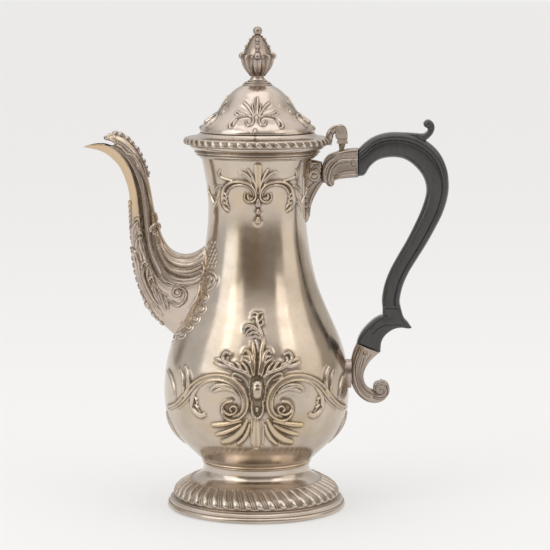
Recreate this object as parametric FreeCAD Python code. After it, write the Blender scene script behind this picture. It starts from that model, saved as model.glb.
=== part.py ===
import FreeCAD, Part
import math
import os

# Baluster coffee pot in sheet and cast silver, with an ebonised wood handle and a hinged domed lid.
# Frame: +Z up from the plane it stands on, spout towards -X, handle towards +X. The pieces are drawn round the pot's own
# axis, then moved along X by AXIS_X, so that the origin lies under the middle of the overall length and width.
# All lengths in millimetres.

V = FreeCAD.Vector
os.makedirs("parts", exist_ok=True)

# ---------------------------------------------------------------- driving dimensions
SHEET = 1.0             # thickness of the raised body sheet
FOOT_SHEET = 1.2        # thickness of the foot's sheet
LID_SHEET = 1.0         # thickness of the lid's sheet
SPOUT_WALL = 1.3        # wall of the cast spout
RIM_TOP = 212.0         # plane of the mouth's top edge
NECK_R = 32.35          # outer radius of the neck at the mouth
MOUTH_R = 39.3          # outer radius of the mouth moulding
FOOT_R = 52.2           # largest radius of the foot's rim
FLANGE_R = 40.4         # radius of the lid's flange inside its border
BORDER_R = 42.2         # outer radius of the lid's border
SEAT_GAP = 0.3          # air between the closed lid and the mouth's top edge
HINGE_X, HINGE_Z = 47.9, 220.4   # centre of the hinge pin, which lies along Y
PIN_R = 1.0             # radius of the hinge pin
PIN_CLEAR = 0.05        # radial running clearance in the lid's knuckle
KNUCKLE_R = 3.4         # radius of the knuckles
KNUCKLE_HALF = 1.6      # half the width of the lid's knuckle
CHEEK_IN, CHEEK_OUT = 1.75, 4.1  # inner and outer face of the post's two cheeks
STUD_R = 1.5            # radius of the finial's threaded stud, as a plain shank
STRAINER_R = 1.3        # radius of each strainer hole behind the spout
STRAINER_PITCH = 4.2    # distance between strainer holes
TENON_W = 6.4           # width of the handle's two tenons
RIVET_R = 1.0          # radius of the two pins through the handle's sockets
AXIS_X = -5.36          # where the pot's own axis stands along X

# Outer profile of the body, (radius, height), from above the foot to the neck.
BODY = [(30.66, 27.0), (33.79, 30.0), (36.91, 33.0), (40.06, 36.0), (43.10, 39.0), (45.81, 42.0),
        (48.05, 45.0), (49.84, 48.0), (51.23, 51.0), (52.26, 54.0), (53.00, 57.0), (53.50, 60.0),
        (53.94, 66.0), (53.89, 72.0), (53.50, 78.0), (52.75, 84.0), (51.51, 90.0), (49.73, 96.0),
        (47.46, 102.0), (44.84, 108.0), (42.08, 114.0), (39.39, 120.0), (36.96, 126.0),
        (34.92, 132.0), (33.27, 138.0), (31.90, 144.0), (30.74, 150.0), (29.76, 156.0),
        (29.00, 162.0), (28.50, 168.0), (28.31, 174.0), (28.47, 180.0), (28.97, 186.0),
        (29.81, 192.0), (30.94, 198.0), (32.10, 203.2)]

# Outer profile of the lid's dome, from its flat crown to its upright band.
DOME = [(9.0, 246.2), (12.6, 244.0), (15.4, 241.6), (17.6, 238.8), (19.2, 236.2), (20.6, 233.6),
        (22.4, 231.0), (24.8, 228.7), (27.6, 226.7), (30.2, 224.7), (32.0, 222.7), (32.8, 221.1),
        (33.0, 219.8)]


# ---------------------------------------------------------------- helpers
def pt(p, y=0.0):
    return V(p[0], y, p[1])


def line(a, b):
    return Part.LineSegment(pt(a), pt(b)).toShape()


def spline(points):
    c = Part.BSplineCurve()
    c.interpolate([pt(p) for p in points])
    return c.toShape()


def offset_points(points, d):
    """Points moved by d to the left of the direction of travel in the (radius, height) plane."""
    out = []
    n = len(points)
    for i, p in enumerate(points):
        a = points[max(i - 1, 0)]
        b = points[min(i + 1, n - 1)]
        dx, dz = b[0] - a[0], b[1] - a[1]
        m = math.hypot(dx, dz)
        out.append((p[0] - dz / m * d, p[1] + dx / m * d))
    return out


def chain(*items):
    """A closed face from runs: a list of 3 or more points joined by a spline, or 2 points by a line."""
    edges = []
    runs = list(items)
    for i, run in enumerate(runs):
        edges.append(spline(run) if len(run) > 2 else line(run[0], run[1]))
        nxt = runs[(i + 1) % len(runs)][0]
        if math.hypot(run[-1][0] - nxt[0], run[-1][1] - nxt[1]) > 1e-6:
            edges.append(line(run[-1], nxt))
    return Part.Face(Part.Wire(edges))


def poly(points):
    return Part.Face(Part.makePolygon([pt(p) for p in points] + [pt(points[0])]))


def turn(face):
    return face.revolve(V(0, 0, 0), V(0, 0, 1), 360)


def slab(points, y0, y1):
    """The outline in the XZ plane, extruded from y0 to y1."""
    f = poly(points)
    f.translate(V(0, y0, 0))
    return f.extrude(V(0, y1 - y0, 0))


def slab_face(face, y0, y1):
    f = face.copy()
    f.translate(V(0, y0, 0))
    return f.extrude(V(0, y1 - y0, 0))


def half_outline(hx, w, power, count):
    """Half of a rounded section, as count points evenly spaced along it: (across the stroke, along Y)."""
    fine = []
    for k in range(721):
        t = math.pi * k / 720
        c, s = math.cos(t), math.sin(t)
        fine.append((hx * math.copysign(abs(c) ** (2 / power), c), w / 2 * abs(s) ** (2 / power)))
    run = [0.0]
    for p, q in zip(fine, fine[1:]):
        run.append(run[-1] + math.hypot(q[0] - p[0], q[1] - p[1]))
    out = []
    j = 0
    for k in range(count):
        goal = run[-1] * k / (count - 1)
        while j < 719 and run[j + 1] < goal:
            j += 1
        f = (goal - run[j]) / max(run[j + 1] - run[j], 1e-12)
        out.append((fine[j][0] + (fine[j + 1][0] - fine[j][0]) * f, fine[j][1] + (fine[j + 1][1] - fine[j][1]) * f))
    out[0] = (hx, 0.0)
    out[-1] = (-hx, 0.0)
    return out


def half_skin(rows, power, side, count=13):
    """One side's skin of a stroke. Each row is (outer point, inner point, width along Y)."""
    grid = []
    for (ox, oz), (ix, iz), w in rows:
        cx, cz = (ox + ix) / 2, (oz + iz) / 2
        m = math.hypot(ox - ix, oz - iz)
        ux, uz = (ox - ix) / m, (oz - iz) / m
        grid.append([V(cx + ux * a, side * b, cz + uz * a) for a, b in half_outline(m / 2, w, power, count)])
    skin = Part.BSplineSurface()
    skin.interpolate(grid)
    return skin.toShape()


def closed(shell):
    """The solid inside a shell of matching faces, with its faces pointing outwards."""
    shell.sewShape()
    solid = Part.Solid(shell)
    if solid.Volume < 0:
        shell.reverse()
        solid = Part.Solid(shell)
    return solid


def loft(rows, power=2.6):
    """A closed solid along a stroke, with a rounded section at each row and a flat cap at both ends."""
    skins = [half_skin(rows, power, 1), half_skin(rows, power, -1)]
    shell = Part.Shell(skins)
    shell.sewShape()
    free = [e for e in shell.Edges if len(shell.ancestorsOfType(e, Part.Face)) == 1]
    caps = [Part.Face(Part.Wire(g)) for g in Part.sortEdges(free)]
    return closed(Part.Shell(skins + caps))


def row_ends(row):
    (ox, oz), (ix, iz), w = row
    return V(ox, 0, oz), V(ix, 0, iz)


def edge_between(skin, p, q):
    for e in skin.Edges:
        s, t = e.valueAt(e.FirstParameter), e.valueAt(e.LastParameter)
        if min(s.distanceToPoint(p) + t.distanceToPoint(q), t.distanceToPoint(p) + s.distanceToPoint(q)) < 1e-4:
            return e


def hollow_half(outer, inner, power, side):
    """Half of a hollow stroke, split in the plane y = 0: open at its first row and closed at its last."""
    so, si = half_skin(outer, power, side), half_skin(inner, power, side)
    oa, ob = row_ends(outer[0])
    oc, od = row_ends(outer[-1])
    ia, ib = row_ends(inner[0])
    ic, id_ = row_ends(inner[-1])
    la, lb = Part.makeLine(oa, ia), Part.makeLine(ob, ib)
    lo, li = Part.makeLine(oc, od), Part.makeLine(ic, id_)
    rings = [[edge_between(so, oa, ob), lb, edge_between(si, ia, ib), la],
             [edge_between(so, oa, oc), lo, edge_between(so, ob, od), lb,
              edge_between(si, ib, id_), li, edge_between(si, ia, ic), la],
             [edge_between(so, oc, od), lo],
             [edge_between(si, ic, id_), li]]
    return closed(Part.Shell([so, si] + [Part.Face(Part.Wire(Part.sortEdges(r)[0])) for r in rings]))


def shrink(row, d):
    """One section of a loft, with d taken off all round."""
    (ox, oz), (ix, iz), w = row
    m = math.hypot(ox - ix, oz - iz)
    ux, uz = (ox - ix) / m, (oz - iz) / m
    d2 = min(d, m / 2 - 0.35)
    return ((ox - ux * d2, oz - uz * d2), (ix + ux * d2, iz + uz * d2), max(w - 2 * d, 0.7))


def rod(x, z, r, half):
    return Part.makeCylinder(r, 2 * half, V(x, -half, z), V(0, 1, 0))


def prism(cx, cz, ux, uz, length, height, width):
    """A block that starts at (cx, cz), runs length along (ux, uz), and is height across that and width along Y."""
    nx, nz = -uz, ux
    h = height / 2
    return slab([(cx + nx * h, cz + nz * h), (cx + ux * length + nx * h, cz + uz * length + nz * h),
                 (cx + ux * length - nx * h, cz + uz * length - nz * h), (cx - nx * h, cz - nz * h)],
                -width / 2, width / 2)


def one(shape):
    """The shape as one solid, with splitter edges removed."""
    s = shape.removeSplitter()
    solid = max(s.Solids, key=lambda q: abs(q.Volume))
    if solid.isInside(V(500, 500, 500), 1e-4, True) or solid.Volume < 0:
        shell = solid.Shells[0].copy()
        shell.reverse()
        solid = Part.Solid(shell)
    return solid


nodes = {}

# ---------------------------------------------------------------- body
# Raised from one sheet: a bowl-shaped bottom, the belly, the neck and the straight mouth.
bottom = [(0.0, 25.2), (8.0, 25.25), (16.0, 25.45), (23.0, 25.7), (27.6, 26.0)]
mouth = [(NECK_R, 205.2), (NECK_R, RIM_TOP)]
outer_run = [(27.6, 26.0)] + BODY + [mouth[0]]
inner_run = offset_points(BODY, SHEET)
inner_run = [(29.3, 27.3)] + [p for p in inner_run if p[1] > 29.0] + [(NECK_R - SHEET, 205.2)]
inner_bottom = [(0.0, 26.4), (10.0, 26.45), (20.0, 26.7), (26.4, 26.9), (29.3, 27.3)]
body = turn(chain([bottom[0], bottom[1], bottom[2], bottom[3], bottom[4]], outer_run, mouth,
                  [mouth[1], (NECK_R - SHEET, RIM_TOP)],
                  [(NECK_R - SHEET, RIM_TOP), (NECK_R - SHEET, 205.2)],
                  list(reversed(inner_run)), list(reversed(inner_bottom))))
body_solid = turn(chain([bottom[0], bottom[1], bottom[2], bottom[3], bottom[4]], outer_run, mouth,
                        [mouth[1], (0.0, RIM_TOP)]))

# Strainer: a hexagonal cluster of holes through the wall where the spout's root covers it.
strainer_c = (-37.0, 0.0, 127.5)
strainer_dir = V(-1, 0, 0.36)
holes = []
for row in range(-3, 4):
    for col in range(-3, 4):
        off = 0.5 if row % 2 else 0.0
        y = (col + off) * STRAINER_PITCH
        z = row * STRAINER_PITCH * 0.866
        if math.hypot(y, z) > 9.4:
            continue
        base = V(strainer_c[0] + 6, y, strainer_c[2] + z - 2)
        holes.append(Part.makeCylinder(STRAINER_R, 14, base, strainer_dir))
body = body.cut(Part.makeCompound(holes))
nodes["body_shell"] = one(body)

# Mouth: a turned moulding soldered round the neck, stepped in three rings.
mouth_ring = chain([(NECK_R, 204.9), (NECK_R, RIM_TOP)],
                   [(NECK_R, RIM_TOP), (MOUTH_R, RIM_TOP)],
                   [(MOUTH_R, RIM_TOP), (39.2, 211.2), (38.2, 210.3), (37.0, 209.5), (36.5, 209.0)],
                   [(36.5, 209.0), (36.5, 208.3)],
                   [(36.5, 208.3), (35.3, 208.0), (34.9, 207.4), (35.2, 206.9), (35.1, 206.3), (34.2, 206.0)],
                   [(34.2, 206.0), (33.6, 205.4), (33.3, 204.9)])
nodes["mouth_rim_moulding"] = turn(mouth_ring)

# ---------------------------------------------------------------- foot
foot_out = [(31.0, 26.3), (30.95, 24.0), (31.25, 22.0), (32.3, 20.0), (34.5, 18.1), (37.9, 16.2)]
under_band = [(37.9, 16.2), (41.2, 13.9), (44.2, 11.6), (46.0, 9.3), (46.7, 7.0)]
ledge = [(46.7, 7.0), (47.6, 6.2)]
foot_in = [(48.2, 3.4), (47.4, 4.9), (45.6, 6.0), (44.8, 8.6), (43.2, 10.8), (40.4, 12.9), (37.2, 15.0),
           (33.8, 16.9), (31.2, 19.2), (30.1, 21.7), (29.8, 24.0), (29.8, 26.3)]
foot = chain([(29.8, 26.3), (31.0, 26.3)], foot_out, under_band, [(46.7, 7.0), (47.9, 6.3)],
             [(47.9, 6.3), (48.6, 5.7)], [(48.6, 5.7), (49.5, 5.1), (50.9, 4.7)], [(50.9, 4.7), (50.9, 3.4)],
             [(50.9, 3.4), (48.2, 3.4)], foot_in)
foot_solid = turn(foot)
nodes["foot_shell"] = one(foot_solid.cut(body_solid))

# Collar: a reeded wire round the joint of foot and body.
collar = chain([(30.2, 26.3), (31.0, 26.3)], [(31.0, 26.3), (31.75, 26.5), (31.9, 26.9), (31.6, 27.3)],
               [(31.6, 27.3), (32.1, 27.55), (32.35, 28.0), (32.1, 28.5), (31.9, 28.7)],
               [(31.9, 28.7), (30.2, 28.0)])
nodes["foot_collar_wire"] = one(turn(collar).cut(body_solid))

# Gadrooned band: a cast border that sits on the foot's shoulder.
band = chain(under_band, [(46.7, 7.0), (47.9, 6.3)], [(47.9, 6.3), (48.15, 7.6), (47.75, 9.4), (46.3, 11.6),
             (43.6, 13.8), (40.4, 15.6), (38.4, 16.45)], [(38.4, 16.45), (37.9, 16.2)])
nodes["foot_gadroon_border"] = turn(band)

# Rim: the thick rounded wire that the pot stands on.
rim = chain([(48.2, 0.0), (51.2, 0.0)], [(51.2, 0.0), (51.95, 0.6), (FOOT_R, 1.6), (51.95, 2.6), (51.2, 3.4)],
            [(51.2, 3.4), (48.2, 3.4)])
nodes["foot_rim_wire"] = turn(rim)

# ---------------------------------------------------------------- spout
# (upper or inner edge, lower or outer edge, width) from inside the body to the lip's tip.
SPOUT = [((-12.0, 152.0), (-38.0, 93.0), 25.6),
         ((-20.0, 154.4), (-47.6, 100.4), 25.5),
         ((-25.8, 154.5), (-54.0, 106.3), 25.0),
         ((-29.8, 153.4), (-59.6, 112.2), 24.0),
         ((-34.2, 150.4), (-64.6, 119.6), 22.4),
         ((-39.4, 148.4), (-68.2, 128.0), 20.2),
         ((-45.2, 148.8), (-70.7, 137.0), 17.8),
         ((-50.4, 151.8), (-72.2, 146.0), 15.6),
         ((-54.4, 157.6), (-72.9, 154.6), 14.0),
         ((-57.2, 165.4), (-73.3, 164.0), 13.0),
         ((-59.6, 174.8), (-73.6, 174.4), 12.4),
         ((-61.3, 184.3), (-74.4, 184.3), 12.0),
         ((-63.2, 193.2), (-76.3, 191.4), 11.8),
         ((-66.4, 202.0), (-79.2, 198.0), 11.5),
         ((-70.6, 209.6), (-82.8, 202.6), 11.0),
         ((-76.2, 214.9), (-87.4, 206.4), 10.2),
         ((-82.6, 217.4), (-92.0, 208.5), 8.6),
         ((-90.0, 216.2), (-96.0, 209.4), 5.6),
         ((-99.4, 211.6), (-100.3, 210.2), 1.8)]
spout_outer = loft(SPOUT, 2.3)
# The hollow runs from the body to a point just short of the lip's tip.
inner_rows = [shrink(r, SPOUT_WALL) for r in SPOUT[:-1]] + [((-97.0, 211.2), (-97.4, 210.75), 0.8)]
# Above the lip the tube is cut away in front of the hood, and the mouth is cut back at both sides.
lip_cut = slab([(-110, 211.9), (-96.4, 212.2), (-88.3, 212.3), (-84.6, 210.9), (-82.4, 211.6), (-82.0, 213.0),
                (-84.4, 214.6), (-87.2, 215.0), (-87.6, 219.0), (-87.6, 235), (-110, 235)], -20, 20)
# The spout is cast in two halves that meet on a seam in the plane y = 0.
nodes["spout_right_half"] = one(hollow_half(SPOUT, inner_rows, 2.3, 1).cut(lip_cut).cut(body_solid))
nodes["spout_left_half"] = one(hollow_half(SPOUT, inner_rows, 2.3, -1).cut(lip_cut).cut(body_solid))

# Crest: the graduated beads cast in one strip, soldered along the hood's seam.
beads = None
for (bx, bz, br) in [(-81.6, 218.0, 1.95), (-78.6, 217.4, 1.8), (-74.9, 215.2, 1.7), (-72.5, 212.8, 1.6),
                     (-69.4, 209.4, 1.5), (-67.5, 206.2, 1.4), (-65.5, 202.4, 1.25), (-64.2, 199.0, 1.1),
                     (-62.9, 195.6, 1.0)]:
    s = Part.makeSphere(br, V(bx, 0, bz))
    beads = s if beads is None else beads.fuse(s)
strip_rows = [((-83.4, 218.9), (-84.0, 216.0), 2.2), ((-79.0, 218.2), (-80.0, 215.2), 2.4),
              ((-74.2, 215.0), (-76.0, 212.0), 2.4), ((-70.0, 210.8), (-72.6, 208.8), 2.2),
              ((-66.4, 204.6), (-69.4, 203.2), 2.0), ((-63.8, 198.4), (-66.6, 197.6), 1.8),
              ((-62.2, 193.2), (-64.6, 192.6), 1.4)]
crest = loft(strip_rows, 2.0).fuse(beads).cut(spout_outer)
crest = sorted(crest.Solids, key=lambda q: q.Volume, reverse=True)[0]
nodes["spout_crest_beads"] = crest

# ---------------------------------------------------------------- lid
dome_in = offset_points(DOME, -LID_SHEET)
cove = [(32.7, 219.4), (33.3, 219.0), (34.0, 218.2), (35.4, 217.4), (37.4, 216.8), (FLANGE_R, 216.4)]
cove_in = [(FLANGE_R, 215.3), (37.2, 215.7), (34.6, 216.5), (33.0, 217.7), (32.1, 218.6)]
crown_z = 246.2
dome = chain([(STUD_R + 0.1, crown_z), (9.0, crown_z)], DOME, [(33.0, 219.8), (32.7, 219.4)], cove,
             [(FLANGE_R, 216.4), (FLANGE_R, 215.3)], cove_in, [(32.1, 218.6), (32.0, 219.8)],
             list(reversed([p for p in dome_in if p[1] < 245.0 and p[0] < 31.95])),
             [(8.6, crown_z - LID_SHEET), (STUD_R + 0.1, crown_z - LID_SHEET)])
lid_dome = turn(dome)

border = chain([(FLANGE_R, 212.6), (41.5, 212.6)], [(41.5, 212.6), (42.0, 213.2), (BORDER_R, 214.2), (41.9, 215.4),
               (41.2, 216.2), (FLANGE_R, 216.5)], [(FLANGE_R, 216.5), (FLANGE_R, 212.6)])
lid_border = turn(border)

seat_z = RIM_TOP + SEAT_GAP
bezel = chain([(29.4, 208.0), (30.2, 208.0)], [(30.2, 208.0), (30.8, seat_z)], [(30.8, seat_z), (FLANGE_R, seat_z)],
              [(FLANGE_R, seat_z), (FLANGE_R, 213.3)], [(FLANGE_R, 213.3), (30.0, 213.3)], [(30.0, 213.3), (29.4, 208.0)])
lid_bezel = turn(bezel)

# ---------------------------------------------------------------- hinge
# The lid's strap: an arch from the lid's border up to a round knuckle on the pin.
strap_rows = [((40.0, 212.5), (42.9, 211.9), 6.4), ((39.3, 214.6), (43.4, 214.2), 6.6), ((39.6, 218.0), (43.6, 216.2), 6.6),
              ((41.2, 221.2), (44.6, 218.2), 6.2), ((44.2, 223.3), (46.0, 219.2), 4.6), ((47.4, 223.6), (47.9, 219.4), 2 * KNUCKLE_HALF)]
arm = loft(strap_rows, 3.2)
side_keep = slab([(30, 205), (44.0, 205), (44.0, 230), (30, 230)], -5, 5)
mid_keep = Part.makeBox(20, 2 * KNUCKLE_HALF, 30, V(40, -KNUCKLE_HALF, 205))
arm = arm.common(side_keep).fuse(arm.common(mid_keep))
knuckle = rod(HINGE_X, HINGE_Z, KNUCKLE_R, KNUCKLE_HALF)
strap = arm.fuse(knuckle).cut(rod(HINGE_X, HINGE_Z, PIN_R + PIN_CLEAR, 10))
# The strap is let into the border and the flange, which are cut to it.
strap = one(strap)
nodes["lid_dome"] = one(lid_dome.cut(strap))
nodes["lid_gadroon_border"] = one(lid_border.cut(strap))
nodes["lid_bezel"] = one(lid_bezel.cut(strap))
nodes["lid_hinge_strap"] = strap

# The post: two cheeks that hold the pin, on a tapered stem that stands on the upper socket.
cheek_face = chain([(44.3, 213.4), (44.3, 218.8)],
                   [(44.3, 218.8), (44.9, 221.6), (47.0, 223.7), (49.4, 223.6), (51.4, 221.8), (52.1, 218.6)],
                   [(52.1, 218.6), (51.7, 213.4)], [(51.7, 213.4), (44.3, 213.4)])
post = slab_face(cheek_face, -CHEEK_OUT, CHEEK_OUT)
# Slot for the lid's knuckle, and the bed under it.
post = post.cut(slab([(40, 216.6), (53, 216.6), (53, 226), (40, 226)], -CHEEK_IN, CHEEK_IN))
post = post.cut(slab([(40, 212.0), (46.0, 212.0), (46.9, 214.4), (45.6, 217.4), (44.9, 230), (40, 230)], -CHEEK_OUT - 1, CHEEK_OUT + 1))
stem = loft([((51.0, 213.6), (46.8, 213.6), 6.4), ((50.6, 211.6), (47.1, 211.6), 4.8), ((50.2, 209.6), (47.4, 209.3), 3.6),
             ((50.0, 208.0), (47.4, 207.4), 3.2)], 2.6)
post = post.fuse(stem).fuse(Part.makeSphere(2.0, V(48.7, 0, 207.9)))

# ---------------------------------------------------------------- upper socket and bracket
socket_face = chain([(44.4, 207.6), (47.4, 208.6), (50.9, 209.5), (54.6, 210.0), (58.5, 210.2)],
                    [(58.5, 210.2), (58.5, 193.6)],
                    [(58.5, 193.6), (52.6, 193.2), (47.6, 192.6), (44.6, 191.6)],
                    [(44.6, 191.6), (44.6, 189.9), (43.6, 188.5), (42.2, 188.1), (40.7, 188.7), (39.6, 190.2)],
                    [(39.6, 190.2), (38.2, 190.4), (37.6, 194.6), (37.7, 199.6), (38.9, 203.6), (41.2, 206.2), (44.4, 207.6)])
socket = slab_face(socket_face, -5.9, 5.9)
edges = [e for e in socket.Edges if abs(e.CenterOfMass.y) > 5.8]
try:
    rounded = socket.makeFillet(1.2, edges)
    if rounded.isValid() and abs(rounded.Volume / socket.Volume - 1) < 0.1:
        socket = rounded
except Exception:
    pass
upper_tenon = prism(58.5, 201.9, -1, 0, 11.0, 11.0, TENON_W)
upper_rivet = rod(55.5, 201.6, RIVET_R, 6.15)
socket = socket.cut(upper_tenon).cut(upper_rivet)
nodes["upper_handle_socket"] = one(socket)
nodes["hinge_post"] = one(post.cut(slab_face(socket_face, -5.9, 5.9)).cut(rod(HINGE_X, HINGE_Z, PIN_R, 10)))
nodes["hinge_pin"] = rod(HINGE_X, HINGE_Z, PIN_R, CHEEK_OUT + 0.25)

# The bracket is cast as a leaf and a volute, and joins the neck to the socket's collar.
bracket_face = chain([(26.0, 203.9), (30.0, 203.7), (34.6, 202.9), (37.9, 202.0)],
                     [(37.9, 202.0), (37.7, 199.6), (37.6, 194.6), (38.2, 190.4)],
                     [(38.2, 190.4), (36.3, 187.6), (34.2, 184.0), (32.4, 180.2), (31.2, 176.2), (30.6, 171.6), (29.4, 167.0)],
                     [(29.4, 167.0), (26.0, 167.0)], [(26.0, 167.0), (26.0, 203.9)])
bracket = slab_face(bracket_face, -4.6, 4.6)
volute = rod(32.9, 194.8, 4.0, 5.6)
bracket = bracket.fuse(volute).cut(slab_face(socket_face, -8, 8)).cut(body_solid)
nodes["upper_socket_bracket"] = one(bracket)

# ---------------------------------------------------------------- lower socket
LOWER = [((58.3, 96.4), (72.1, 91.0), 10.6), ((56.5, 92.2), (69.2, 88.6), 10.2), ((55.4, 88.2), (66.6, 86.0), 9.6),
         ((54.9, 84.0), (64.4, 82.8), 9.0), ((54.8, 80.0), (63.0, 79.6), 8.6), ((54.9, 76.2), (62.6, 76.4), 8.2),
         ((55.7, 72.0), (63.3, 73.0), 7.9), ((57.6, 67.8), (65.0, 70.4), 7.6), ((60.8, 64.1), (66.9, 69.4), 7.3),
         ((65.0, 61.5), (69.0, 68.4), 7.0), ((69.6, 60.8), (70.6, 68.0), 6.8), ((74.0, 62.2), (71.8, 68.2), 6.6),
         ((77.0, 65.4), (72.4, 68.8), 6.4), ((77.9, 69.2), (72.4, 69.6), 6.2), ((76.3, 73.4), (72.0, 70.2), 6.0),
         ((72.4, 75.0), (71.4, 70.6), 5.8)]
lower = loft(LOWER, 2.8)
eye = rod(71.6, 70.4, 3.3, 3.9)
lower = lower.fuse(eye)
nx, nz = -0.364, -0.931
lower_tenon = prism(65.2, 93.7, nx, nz, 8.6, 7.6, TENON_W)
lower_rivet = rod(63.2, 89.4, RIVET_R, 5.3)
# Pad: an oval plate between the body and the socket.
pad = Part.makeCylinder(6.0, 6.0, V(49.8, 0, 0), V(1, 0, 0))
m = FreeCAD.Matrix()
m.scale(V(1, 1, 1.42))
pad = pad.transformGeometry(m)
pad.translate(V(0, 0, 78.2))
pad = pad.cut(body_solid).cut(Part.makeBox(20, 40, 60, V(55.35, -20, 50)))
pad = one(pad)
nodes["lower_socket_pad"] = pad
lower = lower.cut(pad).cut(body_solid).cut(lower_tenon).cut(lower_rivet)
nodes["lower_handle_socket"] = one(lower)

# ---------------------------------------------------------------- wood handle
ARM = [((58.5, 210.0), (58.5, 193.8), 11.4), ((61.8, 213.2), (62.2, 194.8), 11.6), ((66.0, 216.3), (65.6, 199.8), 11.8),
       ((71.6, 218.6), (70.6, 203.6), 12.0), ((78.0, 219.6), (77.6, 205.0), 12.0), ((86.0, 219.2), (84.0, 204.3), 11.9),
       ((94.0, 216.8), (88.8, 201.8), 11.7), ((101.0, 212.3), (92.7, 198.3), 11.5), ((106.2, 206.4), (95.7, 194.3), 11.3),
       ((109.7, 198.6), (97.4, 190.0), 11.1), ((111.0, 190.3), (97.9, 186.0), 10.9), ((110.4, 182.2), (97.3, 181.3), 10.8),
       ((107.6, 172.6), (95.0, 174.2), 10.7), ((103.2, 163.5), (91.4, 165.9), 10.6), ((98.0, 154.0), (86.8, 156.6), 10.5),
       ((92.8, 145.5), (81.6, 147.4), 10.4), ((88.2, 137.7), (77.2, 139.0), 10.3), ((85.0, 130.0), (74.2, 130.8), 10.3),
       ((83.4, 122.4), (72.8, 123.0), 10.3), ((83.8, 117.6), (73.0, 118.0), 10.4)]
arm_solid = loft(ARM, 3.4)
# The carved foot of the handle: a heel that sweeps out to a spur and in to the lower socket.
block_face = chain([(73.0, 120.0), (83.6, 120.0)],
                   [(83.6, 120.0), (83.9, 117.1), (85.6, 111.8), (87.9, 109.1), (90.3, 105.6)],
                   [(90.3, 105.6), (88.3, 105.3), (83.9, 105.8), (79.4, 104.7), (75.0, 101.4), (72.7, 97.3), (72.1, 91.0)],
                   [(72.1, 91.0), (58.3, 96.4)],
                   [(58.3, 96.4), (59.8, 100.8), (62.5, 104.9), (66.9, 109.4), (70.6, 112.0), (73.2, 113.0)],
                   [(73.2, 113.0), (73.0, 120.0)])
block_solid = slab_face(block_face, -5.3, 5.3)
# The thumb scroll: a horn that rises from the back of the arm and curls forward.
scroll_face = chain([(88.0, 218.6), (92.0, 219.5), (95.0, 220.4), (97.2, 222.2), (98.0, 223.4)],
                    [(98.0, 223.4), (96.4, 223.0), (95.9, 224.8), (97.0, 226.6), (99.0, 226.9), (101.2, 225.4), (102.2, 222.6),
                     (101.8, 219.4), (99.6, 216.4), (96.0, 213.8)],
                    [(96.0, 213.8), (88.0, 218.6)])
scroll_solid = slab_face(scroll_face, -3.9, 3.9)
handle = arm_solid.fuse(block_solid).fuse(scroll_solid)
handle = handle.fuse(upper_tenon).fuse(lower_tenon).cut(upper_rivet).cut(lower_rivet)
# The wood stops at the two sockets' end faces.
handle = handle.cut(nodes["upper_handle_socket"]).cut(nodes["lower_handle_socket"])
nodes["wood_handle"] = one(handle)
nodes["upper_handle_pin"] = upper_rivet
nodes["lower_handle_pin"] = lower_rivet

# ---------------------------------------------------------------- finial
plinth = chain([(STUD_R + 0.1, crown_z), (8.3, crown_z)], [(8.3, crown_z), (8.5, 246.8), (8.0, 247.3)],
               [(8.0, 247.3), (7.1, 247.5), (7.2, 248.2), (6.4, 248.6)],
               [(6.4, 248.6), (5.2, 248.9), (4.9, 249.6), (4.4, 250.3)], [(4.4, 250.3), (STUD_R + 0.1, 250.3)],
               [(STUD_R + 0.1, 250.3), (STUD_R + 0.1, crown_z)])
nodes["finial_plinth"] = turn(plinth)
bud = chain([(0.0, 240.6), (STUD_R, 240.6)], [(STUD_R, 240.6), (STUD_R, 250.3)], [(STUD_R, 250.3), (3.9, 250.3)],
            [(3.9, 250.3), (3.65, 251.4), (4.3, 252.8), (6.0, 254.9), (7.7, 257.4), (8.5, 259.8), (8.9, 262.0), (9.1, 263.3)],
            [(9.1, 263.3), (8.0, 263.7)],
            [(8.0, 263.7), (6.9, 266.2), (5.6, 268.9), (4.1, 271.6), (2.4, 274.0), (1.5, 274.9)],
            [(1.5, 274.9), (2.35, 276.0), (2.65, 277.35), (2.3, 278.7), (1.4, 279.6), (0.0, 280.0)])
nodes["finial"] = turn(bud)
hexagon = [V(4.2 * math.cos(math.pi / 3 * k), 4.2 * math.sin(math.pi / 3 * k), 242.2) for k in range(6)]
nut = Part.Face(Part.makePolygon(hexagon + [hexagon[0]])).extrude(V(0, 0, crown_z - LID_SHEET - 242.2))
nodes["finial_nut"] = nut.cut(Part.makeCylinder(STUD_R, 10, V(0, 0, 238)))

# ---------------------------------------------------------------- write
total = 0.0
for name, shape in nodes.items():
    shape = shape.copy()
    shape.translate(V(AXIS_X, 0, 0))
    solids = shape.Solids
    ok = shape.isValid() and all(s.isClosed() for s in solids)
    total += shape.Volume
    bb = shape.BoundBox
    print(f"{name:24s} solids {len(solids)} valid {ok} volume {shape.Volume:10.1f} "
          f"x {bb.XMin:7.2f} {bb.XMax:7.2f} y {bb.YMin:7.2f} {bb.YMax:7.2f} z {bb.ZMin:7.2f} {bb.ZMax:7.2f}")
    shape.exportStep(f"parts/{name}.step")
print("nodes", len(nodes), "volume", round(total, 1))
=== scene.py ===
import math

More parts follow.
